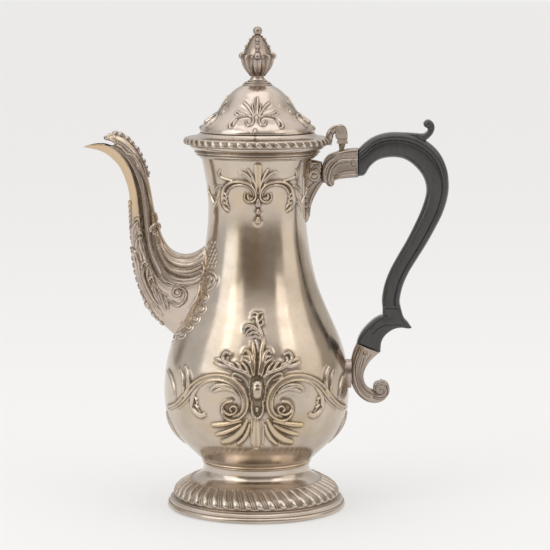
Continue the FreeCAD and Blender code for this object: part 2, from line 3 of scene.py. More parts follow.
import bpy
import numpy as np
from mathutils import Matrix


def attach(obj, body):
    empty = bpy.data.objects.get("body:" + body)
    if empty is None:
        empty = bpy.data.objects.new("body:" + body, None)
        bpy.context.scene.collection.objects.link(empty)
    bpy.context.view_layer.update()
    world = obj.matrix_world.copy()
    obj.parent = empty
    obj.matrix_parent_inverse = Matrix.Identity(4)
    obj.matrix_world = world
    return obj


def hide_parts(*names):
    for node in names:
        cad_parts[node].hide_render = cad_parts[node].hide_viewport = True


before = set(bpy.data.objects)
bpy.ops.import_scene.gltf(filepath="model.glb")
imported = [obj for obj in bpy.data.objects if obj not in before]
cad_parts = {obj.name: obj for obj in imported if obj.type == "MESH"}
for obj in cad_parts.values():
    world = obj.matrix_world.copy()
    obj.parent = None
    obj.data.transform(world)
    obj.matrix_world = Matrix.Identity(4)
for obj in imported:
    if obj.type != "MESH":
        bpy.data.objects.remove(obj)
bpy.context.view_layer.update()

MM = 0.001
AXIS_X = -5.36          # where the pot's own axis stands along X, in mm
rng = np.random.default_rng(11)


# ------------------------------------------------------------------ curves
def spline(points, count=None, step=None, closed=False):
    """Points on a smooth curve through the given rows (any number of columns), evenly spaced along the first columns."""
    p = np.asarray(points, float)
    if len(p) == 2 and not closed:
        n = 9
        t = np.linspace(0, 1, n)[:, None]
        fine = p[0] * (1 - t) + p[1] * t
    else:
        q = np.vstack([p[-1], p, p[0], p[1]]) if closed else np.vstack([2 * p[0] - p[1], p, 2 * p[-1] - p[-2]])
        t = np.linspace(0, 1, 16, endpoint=False)[:, None]
        out = []
        for k in range(1, len(q) - 2):
            a, b, c, d = q[k - 1], q[k], q[k + 1], q[k + 2]
            out.append(0.5 * (2 * b + (c - a) * t + (2 * a - 5 * b + 4 * c - d) * t**2 + (3 * b - a - 3 * c + d) * t**3))
        fine = np.vstack(out + ([] if closed else [q[-2][None]]))
        if closed:
            fine = np.vstack([fine, fine[:1]])
    m = min(3, p.shape[1])
    run = np.concatenate([[0], np.cumsum(np.linalg.norm(np.diff(fine[:, :m], axis=0), axis=1))])
    if count is None:
        count = max(int(round(run[-1] / step)) + 1, 2)
    at = np.linspace(0, run[-1], count)
    return np.stack([np.interp(at, run, fine[:, k]) for k in range(fine.shape[1])], 1)


def profile(*runs, step=0.5, hold=0.09):
    """A section from smooth runs that meet at corners. Each corner keeps a close point on both sides, so it stays crisp."""
    out = []
    for run in runs:
        p = spline(run, step=step)
        length = np.linalg.norm(np.diff(p, axis=0), axis=1).sum()
        if length > 4 * hold:
            d0 = p[1] - p[0]; d0 = d0 / max(np.linalg.norm(d0), 1e-9)
            d1 = p[-2] - p[-1]; d1 = d1 / max(np.linalg.norm(d1), 1e-9)
            p = np.vstack([p[0], p[0] + d0 * hold, p[1:-1], p[-1] + d1 * hold, p[-1]])
        if out and np.linalg.norm(out[-1][-1] - p[0]) < 1e-6:
            p = p[1:]
        out.append(p)
    out = np.vstack(out)
    return out[:-1] if np.linalg.norm(out[0] - out[-1]) < 1e-6 else out


# ------------------------------------------------------------------ meshes
def grid_faces(rows, cols, wrap_rows=False, wrap_cols=True, first=0, poles=()):
    """Index table of a grid, and its faces. poles names the rows that close on one point."""
    idx = np.zeros((rows, cols), int)
    keep = []
    n = first
    for r in range(rows):
        if r in poles:
            idx[r] = n
            keep.append(r * cols)
            n += 1
        else:
            idx[r] = np.arange(n, n + cols)
            keep.extend(range(r * cols, r * cols + cols))
            n += cols
    r0 = np.arange(rows if wrap_rows else rows - 1)
    c0 = np.arange(cols if wrap_cols else cols - 1)
    R, C = np.meshgrid(r0, c0, indexing="ij")
    R2, C2 = (R + 1) % rows, (C + 1) % cols
    quads = np.stack([idx[R, C], idx[R, C2], idx[R2, C2], idx[R2, C]], -1).reshape(-1, 4)
    return np.array(keep), quads, n


def clean(quads):
    out = []
    bad = (quads[:, 0] == quads[:, 1]) | (quads[:, 2] == quads[:, 3]) | (quads[:, 1] == quads[:, 2]) | (quads[:, 3] == quads[:, 0])
    out = quads[~bad].tolist()
    for q in quads[bad].tolist():
        f = []
        for v in q:
            if v not in f:
                f.append(v)
        if len(f) > 2:
            out.append(f)
    return out


def mesh_object(name, verts, faces, body, material, replaces=(), attrs=None, smooth=True):
    me = bpy.data.meshes.new(name)
    me.from_pydata(((np.asarray(verts) + [AXIS_X, 0, 0]) * MM).tolist(), [], faces if isinstance(faces, list) else faces.tolist())
    for key, value in (attrs or {}).items():
        a = me.attributes.new(key, "FLOAT", "POINT")
        a.data.foreach_set("value", np.asarray(value, np.float32).ravel())
    me.polygons.foreach_set("use_smooth", [smooth] * len(me.polygons))
    me.materials.append(material)
    me.update()
    ob = bpy.data.objects.new(name, me)
    bpy.context.scene.collection.objects.link(ob)
    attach(ob, body)
    if replaces:
        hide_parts(*replaces)
    return ob


def outwards(verts, faces):
    """The faces, turned so that the closed mesh's volume is positive."""
    v = np.asarray(verts)
    tri = []
    for f in faces:
        for k in range(1, len(f) - 1):
            tri.append((f[0], f[k], f[k + 1]))
    t = np.asarray(tri)
    vol = np.einsum("ij,ij->i", v[t[:, 0]], np.cross(v[t[:, 1]], v[t[:, 2]])).sum()
    return [f[::-1] for f in faces] if vol < 0 else faces


class Parts:
    """Several closed shells gathered into one mesh."""

    def __init__(self):
        self.v, self.f, self.a, self.n = [], [], {}, 0

    def add(self, verts, faces, **attrs):
        verts = np.asarray(verts, float)
        faces = outwards(verts, [list(f) for f in faces])
        self.v.append(verts)
        self.f += [[i + self.n for i in f] for f in faces]
        self.n += len(verts)
        for key in ("cav", "ridge", "gold"):
            self.a.setdefault(key, []).append(np.broadcast_to(np.asarray(attrs.get(key, 0.0), float), (len(verts),)))
        return self

    def build(self, name, body, material, replaces=()):
        return mesh_object(name, np.vstack(self.v), self.f, body, material, replaces,
                           {k: np.concatenate(v) for k, v in self.a.items()})


def lathe_points(prof, cols):
    th = np.linspace(-math.pi, math.pi, cols, endpoint=False)
    r, z = prof[:, 0][:, None], prof[:, 1][:, None]
    return np.stack([r * np.sin(th), -r * np.cos(th), z + 0 * th], -1), th


def row_normals(prof, closed=True):
    nxt, prv = (np.roll(prof, -1, 0), np.roll(prof, 1, 0)) if closed else (np.vstack([prof[1:], prof[-1:]]), np.vstack([prof[:1], prof[:-1]]))
    d = nxt - prv
    n = np.stack([d[:, 1], -d[:, 0]], 1)
    return n / np.maximum(np.linalg.norm(n, axis=1), 1e-9)[:, None]


def blur(a, r, c):
    """Box blur of a table by r rows and c columns each way; columns wrap."""
    out = a.copy()
    for _ in range(2):
        acc = np.zeros_like(out)
        for k in range(-c, c + 1):
            acc += np.roll(out, k, 1)
        out = acc / (2 * c + 1)
        pad = np.pad(out, ((r, r), (0, 0)), mode="edge")
        cs = np.cumsum(np.vstack([np.zeros((1, out.shape[1])), pad]), 0)
        out = (cs[2 * r + 1:] - cs[:-2 * r - 1]) / (2 * r + 1)
    return out


def revolve(name, prof, cols, body, material, replaces=(), disp=None, closed=True, cav=None, ridge=None, gold=None):
    """A closed turned piece. disp(theta, profile) may push it out along the section's normal, in mm."""
    if np.linalg.norm(prof[0] - prof[-1]) < 1e-6:
        prof = prof[:-1]
    poles = [k for k in (0, len(prof) - 1) if prof[k, 0] < 1e-6]
    P, th = lathe_points(prof, cols)
    N = row_normals(prof, closed=not poles)
    area = 0.5 * np.sum(prof[:, 0] * np.roll(prof[:, 1], -1) - np.roll(prof[:, 0], -1) * prof[:, 1])
    if area < 0:
        N = -N
    d = np.zeros(P.shape[:2]) if disp is None else disp(th, prof)
    P = P + d[..., None] * np.stack([N[:, :1] * np.sin(th), -N[:, :1] * np.cos(th), N[:, 1:] + 0 * th], -1)
    wrap = not poles
    keep, quads, n = grid_faces(len(prof), cols, wrap_rows=wrap, poles=poles)
    V = P.reshape(-1, 3)[keep]
    A = {"cav": np.zeros(P.shape[:2]) if cav is None else cav(th, prof, d), "ridge": np.zeros(P.shape[:2]) if ridge is None else ridge(th, prof, d)}
    if gold is not None:
        A["gold"] = gold(th, prof, d)
    A = {k: v.reshape(-1)[keep] for k, v in A.items()}
    faces = clean(quads)
    faces = outwards(V, faces)
    return mesh_object(name, V, faces, body, material, replaces, A)


# ------------------------------------------------------------------ chased relief
class Relief:
    """Heights over part of a turned surface. A stroke is rows of (degrees round from the front, height, half width, rise)."""

    def __init__(self, prof, cols):
        self.prof = prof
        self.P, self.th = lathe_points(prof, cols)
        self.h = np.zeros(self.P.shape[:2])
        self.cut = np.zeros(self.P.shape[:2])
        self.painted_shade = np.zeros(self.P.shape[:2])
        self.gild = np.zeros(self.P.shape[:2])
        self.order = np.argsort(prof[:, 1], kind="stable")

    def radius(self, z):
        return np.interp(z, self.prof[self.order, 1], self.prof[self.order, 0])

    def near(self, path, reach):
        """For every grid point close to the path: where it is in the table, its distance, side, and place along the path."""
        th, z = np.radians(path[:, 0]), path[:, 1]
        r = self.radius(z)
        S = np.stack([r * np.sin(th), -r * np.cos(th), z], 1)
        T = np.gradient(S, axis=0)
        T /= np.maximum(np.linalg.norm(T, axis=1), 1e-9)[:, None]
        rmin = max(r.min() - 2, 4.0)
        dth = reach / rmin
        rows = np.where((self.prof[:, 1] > z.min() - reach) & (self.prof[:, 1] < z.max() + reach))[0]
        mid = (th.min() + th.max()) / 2
        off = (self.th - mid + math.pi) % (2 * math.pi) - math.pi
        cols = np.where(np.abs(off) < (th.max() - th.min()) / 2 + dth)[0]
        if not len(rows) or not len(cols):
            return None
        Q = self.P[np.ix_(rows, cols)].reshape(-1, 3)
        best = np.full(len(Q), 1e9)
        at = np.zeros(len(Q), int)
        for k in range(0, len(S), 64):
            d = ((Q[:, None, :] - S[None, k:k + 64, :]) ** 2).sum(-1)
            j = d.argmin(1)
            m = d[np.arange(len(Q)), j]
            w = m < best
            best[w], at[w] = m[w], j[w] + k
        d3 = Q - S[at]
        along = (d3 * T[at]).sum(1)
        inside = (at > 0) & (at < len(S) - 1)
        dist = np.where(inside, np.sqrt(np.maximum(best - along**2, 0)), np.sqrt(best))
        nrm = np.stack([np.sin(th), -np.cos(th), 0 * th], 1)
        side = np.sign((np.cross(T[at], nrm[at]) * d3).sum(1))
        return rows, cols, dist, side, at

    def stroke(self, pts, kind="round", scale=1.0, wide=1.0, swell=0.22, outline=0.14):
        raw = np.asarray(pts, float)
        r = self.radius(raw[:, 1])
        arc = np.stack([np.radians(raw[:, 0]) * r.mean(), raw[:, 1], raw[:, 2] * wide, raw[:, 3] * scale], 1)
        sm = spline(arc, step=0.22)
        path = np.stack([np.degrees(sm[:, 0] / r.mean()), sm[:, 1], sm[:, 2], sm[:, 3]], 1)
        reach = path[:, 2].max() + 2.6
        got = self.near(path, reach)
        if got is None:
            return
        rows, cols, dist, side, at = got
        w, h = path[at, 2], path[at, 3]
        q = dist / w
        if kind == "round":
            f = h * np.clip(1 - q**2, 0, 1) ** 0.62
        elif kind == "leaf":
            f = h * np.clip(1 - q**2, 0, 1) ** 0.5 * (1 - 0.38 * np.exp(-(q / 0.22) ** 2))
        elif kind == "flat":
            f = h * np.clip(1 - q**4, 0, 1) ** 0.8
        elif kind == "dish":
            f = h * np.clip(1 - q**6, 0, 1) * (0.25 + 0.75 * np.clip(q, 0, 1) ** 2.2)
        # this first kind paints shade: dark patches kept in their own table and added to the cav table; gild lays
        # golden film
        elif kind in ("painted_shade", "gild"):
            block = np.ix_(rows, cols)
            g = (h * np.exp(-q**2 * 1.6)).reshape(len(rows), len(cols))
            tab = self.painted_shade if kind == "painted_shade" else self.gild
            tab[block] = np.maximum(tab[block], g)
            return
        elif kind == "groove":
            g = h * np.clip(1 - q**2, 0, 1)
            block = np.ix_(rows, cols)
            self.h[block] -= g.reshape(len(rows), len(cols)) * (self.h[block] > 0)
            # the groove is also painted darker as shade through the cut table
            self.cut[block] = np.maximum(self.cut[block], (g * 0.6).reshape(len(rows), len(cols)))
            return
        if swell:
            f = np.maximum(f, swell * h * np.exp(-((np.maximum(dist - w, 0)) / 1.1) ** 2))
        block = np.ix_(rows, cols)
        self.h[block] = np.maximum(self.h[block], f.reshape(len(rows), len(cols)))
        # a dark outline just outside the stroke: a shallow groove cut into the height, also painted darker as shade
        ring = outline * np.exp(-((dist - w - 0.35) / 0.3) ** 2)
        self.cut[block] = np.maximum(self.cut[block], ring.reshape(len(rows), len(cols)))

    def table(self):
        mask = np.clip(1 - self.h / 0.45, 0, 1)
        return self.h - self.cut * mask


def mirrored(pts):
    return [(-p[0],) + tuple(p[1:]) for p in pts]


def turned(pts, deg):
    return [(p[0] + deg,) + tuple(p[1:]) for p in pts]


# ------------------------------------------------------------------ materials
def node(tree, kind, **values):
    n = tree.nodes.new(kind)
    for key, value in values.items():
        if key.startswith("in_"):
            k = key[3:]
            n.inputs[int(k) if k.isdigit() else k.replace("_", " ")].default_value = value
        else:
            setattr(n, key, value)
    return n


def ramp(tree, stops):
    n = tree.nodes.new("ShaderNodeValToRGB")
    els = n.color_ramp.elements
    while len(els) > 1:
        els.remove(els[0])
    els[0].position, els[0].color = stops[0]
    for pos, col in stops[1:]:
        e = els.new(pos)
        e.color = col
    return n


def silver(name, base=(0.57, 0.485, 0.40), dark=(0.12, 0.083, 0.052), warm=(0.60, 0.44, 0.23), violet=(0.43, 0.345, 0.37),
           rough=0.23, tone=0.5, scratch=0.012):
    """Worn silver: lighter near the relief as a painted highlight, brown in the hollows from tarnish and painted shade,
    with faint yellow and violet tarnish.
    """
    m = bpy.data.materials.new(name)
    m.use_nodes = True
    t = m.node_tree
    L = t.links.new
    bs = t.nodes["Principled BSDF"]
    bs.inputs["Metallic"].default_value = 1.0
    co = node(t, "ShaderNodeTexCoord")
    cav = node(t, "ShaderNodeAttribute", attribute_name="cav")
    rid = node(t, "ShaderNodeAttribute", attribute_name="ridge")
    # broad drift of tone over the metal
    broad = node(t, "ShaderNodeTexNoise", in_Scale=34.0, in_Detail=4.0, in_Roughness=0.55)
    L(co.outputs["Object"], broad.inputs["Vector"])
    drift = ramp(t, [(0.30, (base[0] * 0.78, base[1] * 0.76, base[2] * 0.72, 1)), (0.52, (*base, 1)),
                     (0.75, (base[0] * 1.12, base[1] * 1.13, base[2] * 1.16, 1))])
    L(broad.outputs["Fac"], drift.inputs["Fac"])
    # yellow and violet tarnish film in patches; its middle colours are lighter than the base, a painted highlight,
    # mixed in most near the relief
    film = node(t, "ShaderNodeTexNoise", in_Scale=95.0, in_Detail=3.0, in_Roughness=0.6)
    L(co.outputs["Object"], film.inputs["Vector"])
    hue = ramp(t, [(0.34, (*violet, 1)), (0.44, (base[0] * 1.16, base[1] * 1.16, base[2] * 1.15, 1)), (0.57, (base[0] * 1.18, base[1] * 1.17, base[2] * 1.13, 1)),
                   (0.65, (*warm, 1)), (0.74, (0.70, 0.62, 0.36, 1))])
    L(film.outputs["Fac"], hue.inputs["Fac"])
    near = node(t, "ShaderNodeMath", operation="MULTIPLY_ADD", in_1=0.8 * tone, in_2=0.22 * tone)
    L(rid.outputs["Fac"], near.inputs[0])
    mix1 = node(t, "ShaderNodeMix", data_type="RGBA")
    L(near.outputs[0], mix1.inputs["Factor"])
    L(drift.outputs["Color"], mix1.inputs["A"])
    L(hue.outputs["Color"], mix1.inputs["B"])
    # a golden film where the metal has been heated or gilt
    gold = node(t, "ShaderNodeAttribute", attribute_name="gold")
    mixg = node(t, "ShaderNodeMix", data_type="RGBA")
    L(gold.outputs["Fac"], mixg.inputs["Factor"])
    L(mix1.outputs["Result"], mixg.inputs["A"])
    mixg.inputs["B"].default_value = (0.66, 0.50, 0.32, 1)
    mix1 = mixg
    # brown tarnish and painted shade in the hollows, broken up finely
    fine = node(t, "ShaderNodeTexNoise", in_Scale=520.0, in_Detail=3.0, in_Roughness=0.6)
    L(co.outputs["Object"], fine.inputs["Vector"])
    brk = node(t, "ShaderNodeMath", operation="MULTIPLY_ADD", in_1=0.7, in_2=0.65)
    L(fine.outputs["Fac"], brk.inputs[0])
    amount = node(t, "ShaderNodeMath", operation="MULTIPLY", use_clamp=True)
    L(cav.outputs["Fac"], amount.inputs[0])
    L(brk.outputs[0], amount.inputs[1])
    mix2 = node(t, "ShaderNodeMix", data_type="RGBA")
    L(amount.outputs[0], mix2.inputs["Factor"])
    L(mix1.outputs["Result"], mix2.inputs["A"])
    mix2.inputs["B"].default_value = (*dark, 1)
    L(mix2.outputs["Result"], bs.inputs["Base Color"])
    # dull spots and hollows are rougher
    spot = node(t, "ShaderNodeTexNoise", in_Scale=140.0, in_Detail=5.0, in_Roughness=0.65)
    L(co.outputs["Object"], spot.inputs["Vector"])
    r1 = node(t, "ShaderNodeMapRange", in_1=0.3, in_2=0.72, in_3=rough - 0.04, in_4=rough + 0.08)
    L(spot.outputs["Fac"], r1.inputs[0])
    r2 = node(t, "ShaderNodeMath", operation="MULTIPLY_ADD", in_1=0.25, use_clamp=True)
    L(amount.outputs[0], r2.inputs[0])
    L(r1.outputs[0], r2.inputs[2])
    L(r2.outputs[0], bs.inputs["Roughness"])
    # fine wear: hairlines round the form, and a faint unevenness from the hammer
    stretch = node(t, "ShaderNodeMapping")
    stretch.inputs["Scale"].default_value = (260.0, 260.0, 2600.0)
    L(co.outputs["Object"], stretch.inputs["Vector"])
    hair = node(t, "ShaderNodeTexNoise", in_Scale=1.0, in_Detail=2.0, in_Roughness=0.5)
    L(stretch.outputs[0], hair.inputs["Vector"])
    hammer = node(t, "ShaderNodeTexNoise", in_Scale=58.0, in_Detail=1.0)
    L(co.outputs["Object"], hammer.inputs["Vector"])
    b1 = node(t, "ShaderNodeBump", in_Strength=0.5, in_Distance=0.00036)
    L(hammer.outputs["Fac"], b1.inputs["Height"])
    b2 = node(t, "ShaderNodeBump", in_Strength=0.15, in_Distance=scratch * MM)
    L(hair.outputs["Fac"], b2.inputs["Height"])
    L(b1.outputs[0], b2.inputs["Normal"])
    b3 = node(t, "ShaderNodeBump", in_Strength=0.12, in_Distance=0.00001)
    L(fine.outputs["Fac"], b3.inputs["Height"])
    L(b2.outputs[0], b3.inputs["Normal"])
    L(b3.outputs[0], bs.inputs["Normal"])
    return m


def black_wood(name):
    """Black stained hardwood with a satin polish: faint long pores, worn a little browner in patches."""
    m = bpy.data.materials.new(name)
    m.use_nodes = True
    t = m.node_tree
    L = t.links.new
    bs = t.nodes["Principled BSDF"]
    bs.inputs["Coat Weight"].default_value = 0.4
    bs.inputs["Coat Roughness"].default_value = 0.18
    bs.inputs["Specular IOR Level"].default_value = 0.55
    co = node(t, "ShaderNodeTexCoord")
    mp = node(t, "ShaderNodeMapping")
    mp.inputs["Scale"].default_value = (420.0, 900.0, 60.0)
    mp.inputs["Rotation"].default_value = (0.0, 0.35, 0.0)
    L(co.outputs["Object"], mp.inputs["Vector"])
    grain = node(t, "ShaderNodeTexNoise", in_Scale=1.0, in_Detail=4.0, in_Roughness=0.6)
    L(mp.outputs[0], grain.inputs["Vector"])
    wear = node(t, "ShaderNodeTexNoise", in_Scale=55.0, in_Detail=3.0)
    L(co.outputs["Object"], wear.inputs["Vector"])
    c1 = ramp(t, [(0.35, (0.025, 0.024, 0.024, 1)), (0.62, (0.042, 0.041, 0.042, 1)), (0.8, (0.062, 0.059, 0.058, 1))])
    L(grain.outputs["Fac"], c1.inputs["Fac"])
    c2 = ramp(t, [(0.45, (0.024, 0.0232, 0.0235, 1)), (0.75, (0.052, 0.046, 0.042, 1))])
    L(wear.outputs["Fac"], c2.inputs["Fac"])
    mx = node(t, "ShaderNodeMix", data_type="RGBA")
    mx.inputs["Factor"].default_value = 0.45
    L(c1.outputs["Color"], mx.inputs["A"])
    L(c2.outputs["Color"], mx.inputs["B"])
    L(mx.outputs["Result"], bs.inputs["Base Color"])
    rr = node(t, "ShaderNodeMapRange", in_1=0.3, in_2=0.7, in_3=0.17, in_4=0.30)
    L(wear.outputs["Fac"], rr.inputs[0])
    L(rr.outputs[0], bs.inputs["Roughness"])
    bp = node(t, "ShaderNodeBump", in_Strength=0.35, in_Distance=0.00004)
    L(grain.outputs["Fac"], bp.inputs["Height"])
    L(bp.outputs[0], bs.inputs["Normal"])
    return m


SILVER_BODY = silver("silver_body", base=(0.59, 0.505, 0.42), rough=0.165, tone=0.45)
# a lighter, creamier copy of the silver, which paints the foot collar's highlight
SILVER_COLLAR = silver("silver_collar", base=(0.72, 0.575, 0.43), rough=0.17, tone=0.3)
SILVER_MOULD = silver("silver_moulding", base=(0.60, 0.52, 0.445), rough=0.17, tone=0.3)
SILVER_FOOT = silver("silver_foot", base=(0.61, 0.525, 0.45), rough=0.175, tone=0.3)
SILVER_BORDER = silver("silver_border", base=(0.64, 0.56, 0.485), rough=0.18, tone=0.2)
SILVER_SPOUT = silver("silver_spout", base=(0.60, 0.51, 0.44), rough=0.185, tone=0.3)
SILVER_CREST = silver("silver_crest", base=(0.50, 0.435, 0.405), rough=0.20, tone=0.3)
# a darker copy of the silver, which paints shade on the handle sockets
SILVER_SOCKET = silver("silver_socket", base=(0.43, 0.365, 0.32), rough=0.20, tone=0.32)
SILVER_HINGE = silver("silver_hinge", base=(0.52, 0.45, 0.39), rough=0.19, tone=0.25)
SILVER_LID = silver("silver_lid", base=(0.63, 0.545, 0.485), rough=0.185, tone=0.22)
SILVER_FINIAL = silver("silver_finial", base=(0.46, 0.385, 0.335), rough=0.18, tone=0.45)
WOOD = black_wood("black_wood")


# ------------------------------------------------------------------ the chased ornament
# Each row is (degrees round from the motif's middle, height in mm, half width, rise).

BELLY_PAIRS = {
    "rim": [(-15.5, 65.2, 0.5, 0.9), (-16.7, 66.5, 0.5, 1), (-14.8, 68.2, 0.5, 1), (-12.4, 67, 0.5, 1.1),
        (-13.6, 64.4, 0.55, 1.2), (-17.1, 63.3, 0.6, 1.2), (-20.2, 64.9, 0.6, 1.2), (-21.2, 67.7, 0.6, 1.2),
        (-18.9, 70.1, 0.6, 1.1), (-15.5, 70.9, 0.6, 1)],
    "rim_out": [(-21.6, 66.8, 0.6, 1.2), (-21, 63.4, 0.65, 1.25), (-18.4, 60.8, 0.7, 1.3), (-15, 60.1, 0.75, 1.35),
        (-10.9, 61.3, 0.75, 1.35), (-7.6, 64.3, 0.75, 1.4), (-6, 68.3, 0.75, 1.4), (-6, 72.6, 0.75, 1.4),
        (-7.6, 76.6, 0.75, 1.4), (-10.4, 80.1, 0.75, 1.4), (-14.2, 83, 0.75, 1.35), (-19.1, 84.8, 0.75, 1.3),
        (-25.2, 85.3, 0.7, 1.3), (-31.4, 84.4, 0.7, 1.2), (-37.2, 82.4, 0.65, 1.2), (-41.7, 79.7, 0.65, 1.2),
        (-45.8, 76.3, 0.65, 1.2), (-49.9, 72, 0.65, 1.2), (-55.3, 67.5, 0.7, 1.2), (-62.8, 63.8, 0.7, 1.2),
        (-73.1, 61.2, 0.7, 1.1)],
    "rim_in": [(-11.5, 62.7, 0.4, 0.9), (-9.3, 66.8, 0.45, 1), (-8.9, 71.1, 0.5, 1.05), (-10, 75.1, 0.5, 1.05),
        (-12.8, 78.6, 0.5, 1.05), (-17, 81, 0.5, 1), (-22.2, 82.3, 0.5, 1), (-28.3, 82.1, 0.5, 0.95),
        (-33.6, 80.5, 0.5, 0.9), (-37.6, 78, 0.5, 0.9), (-41.3, 74.8, 0.5, 0.9), (-45.3, 70.6, 0.5, 0.85),
        (-50.4, 66.5, 0.5, 0.8), (-56.6, 62.8, 0.5, 0.8)],
    "band": [(-14.3, 62.3, 0.9, 0.5), (-9.9, 64.5, 1.2, 0.55), (-7.4, 68.9, 1.4, 0.6), (-7.9, 74, 1.5, 0.6),
        (-10.7, 78.4, 1.5, 0.6), (-14.8, 81.9, 1.5, 0.6), (-20.7, 83.7, 1.5, 0.6), (-27.4, 83.7, 1.5, 0.55),
        (-34.1, 82, 1.4, 0.55), (-39.6, 79, 1.3, 0.5), (-44.6, 74.4, 1.2, 0.5), (-49.9, 69.4, 1.2, 0.5),
        (-56.9, 65, 1.1, 0.45), (-68, 61.2, 1, 0.4)],
    "leafin": [(-12.1, 75, 0.5, 0.7), (-15.6, 78.2, 1, 0.95), (-20.1, 79.6, 1.2, 1.05), (-25.1, 79.3, 1.1, 1),
        (-28.7, 77.7, 0.8, 0.9), (-29.3, 76.2, 0.5, 0.7)],
    "leafin2": [(-14.3, 76.6, 0.5, 0.6), (-18.8, 78, 0.9, 0.8), (-23.3, 77.4, 0.9, 0.8), (-26.9, 75.8, 0.5, 0.6)],
    "droop": [(-39, 76.7, 0.6, 0.8), (-41.8, 73.3, 1, 1), (-43.1, 69.1, 1.15, 1.1), (-42.8, 65.1, 1.2, 1.15),
        (-39.9, 62.4, 1.2, 1.2), (-36.3, 61.3, 1.25, 1.25), (-33.4, 62.1, 0.9, 1)],
    "droop2": [(-40.7, 71.4, 0.4, 0.7), (-39.1, 69.6, 0.7, 0.8), (-39.2, 67.6, 0.5, 0.6)],
    "droop3": [(-40.7, 67.1, 0.4, 0.8), (-38.3, 65.6, 0.75, 0.85), (-36.9, 63.8, 0.5, 0.7)],
    "l1": [(-4.1, 85.2, 0.5, 0.6), (-7.2, 87.2, 0.8, 0.8), (-11, 88.3, 0.9, 0.95), (-15.4, 89.5, 0.95, 1.05),
        (-19.5, 91.4, 0.95, 1.1), (-22.2, 93.7, 0.9, 1.15), (-22.8, 96.1, 0.85, 1.2), (-21, 97.8, 0.8, 1.2),
        (-18.2, 97.1, 0.6, 1)],
    "l1b": [(-5.7, 87.7, 0.5, 0.8), (-7.6, 90.7, 0.75, 1), (-9.6, 92.3, 0.5, 0.9)],
    "l1c": [(-9.4, 88.4, 0.5, 0.8), (-11.5, 91.1, 0.8, 1.05), (-13.7, 92.8, 0.5, 0.9)],
    "l1d": [(-13.9, 89.7, 0.5, 0.8), (-16.4, 91.5, 0.75, 1), (-18.5, 92.5, 0.5, 0.9)],
    "l1e": [(-18.7, 91.1, 0.5, 0.8), (-19.6, 93.5, 0.7, 1), (-19.2, 95.2, 0.45, 0.9)],
    "l1f": [(-17.5, 89.8, 0.5, 0.5), (-23, 90.6, 0.75, 0.65), (-28.1, 91.9, 0.5, 0.5)],
    "l1g": [(-21.2, 92.1, 0.5, 0.5), (-25.3, 94, 0.7, 0.6), (-28.2, 94.2, 0.4, 0.45)],
    "m1": [(-2.5, 86.1, 0.6, 0.7), (-3.6, 90.5, 0.9, 0.95), (-4.1, 94.8, 1, 1.1), (-5.3, 98, 0.95, 1.2),
        (-7.7, 99.3, 0.8, 1.2), (-9.1, 98.2, 0.5, 0.95)],
    "m1b": [(-3.8, 90.5, 0.5, 0.8), (-6.1, 93.1, 0.75, 0.95), (-8.1, 94.3, 0.5, 0.8)],
    "m1c": [(-4.2, 94, 0.5, 0.8), (-6.4, 95.9, 0.7, 0.95), (-8, 96.2, 0.45, 0.8)],
    "c1": [(-2.2, 86.6, 0.5, 0.7), (-2.2, 92.1, 0.8, 0.95), (-2.6, 96.4, 0.6, 0.8)],
    "c2": [(-1.7, 95.4, 0.5, 0.7), (-2.7, 99.7, 0.9, 0.95), (-3.3, 103.7, 0.5, 0.8)],
    "loop": [(-4.9, 78.8, 0.45, 0.6), (-7.1, 82.7, 0.5, 0.7), (-10.6, 85.5, 0.55, 0.75), (-14.2, 86.6, 0.55, 0.75),
        (-15.4, 85, 0.5, 0.7), (-13.3, 83.9, 0.45, 0.65), (-9.8, 82.9, 0.4, 0.55)],
    "ubar": [(-3.3, 71.2, 0.5, 1), (-3.5, 67.5, 0.6, 1.15), (-2.8, 64.2, 0.65, 1.2), (-1.5, 62.2, 0.65, 1.2),
        (0.1, 61.5, 0.65, 1.2)],
    "frame": [(-4.4, 82.6, 0.35, 0.5), (-4.9, 77.6, 0.4, 0.6), (-4.0, 71.5, 0.4, 0.6)],
    "p1": [(-10, 60, 0.5, 0.6), (-16.3, 58.4, 0.95, 0.9), (-22.9, 57.1, 1.25, 1.05), (-28.4, 56.5, 1, 0.95)],
    "p2": [(-9.8, 57.8, 0.5, 0.5), (-15.3, 54.7, 0.9, 0.75), (-21.5, 52.2, 1.1, 0.85), (-26.9, 50.8, 0.8, 0.75)],
    "p3": [(-6.3, 60.3, 0.5, 0.7), (-8.7, 55.7, 0.95, 1), (-12.3, 51.6, 1.25, 1.15), (-17.4, 48.4, 1.3, 1.2),
        (-23, 46.7, 0.95, 1)],
    "p4": [(-4.6, 58.2, 0.5, 0.6), (-6.2, 53.4, 0.85, 0.85), (-8.6, 49.4, 1, 0.95), (-12.3, 46.2, 0.8, 0.85)],
    "pcline": [(-3.4, 60.3, 0.3, 0.5), (-3.7, 53.4, 0.35, 0.6), (-3.7, 45.8, 0.35, 0.5)],
    "side1": [(-49.5, 70.9, 0.7, 0.8), (-47, 75.8, 1, 1), (-46.6, 80.5, 1.1, 1.1), (-48.1, 84.3, 1, 1.15),
        (-51, 87, 0.7, 1.1)],
    "side2": [(-50.9, 71.9, 0.6, 0.7), (-51.4, 77, 0.9, 0.9), (-53.2, 81.9, 0.9, 0.9), (-56.2, 85, 0.5, 0.7)],
    "side3": [(-59.8, 69.5, 0.7, 0.7), (-62.1, 74.4, 1.1, 0.95), (-66.7, 78.9, 1.1, 1), (-74, 81.9, 0.7, 0.9)],
    "side4": [(-80.0, 57.0, 0.6, 0.6), (-83.0, 51.0, 1.1, 1.0), (-85.5, 44.0, 1.2, 1.1), (-86.5, 38.0, 0.8, 0.8)],
    "side5": [(-76.0, 54.0, 0.5, 0.6), (-75.0, 48.5, 1.0, 0.9), (-77.5, 42.5, 0.8, 0.8)],
}
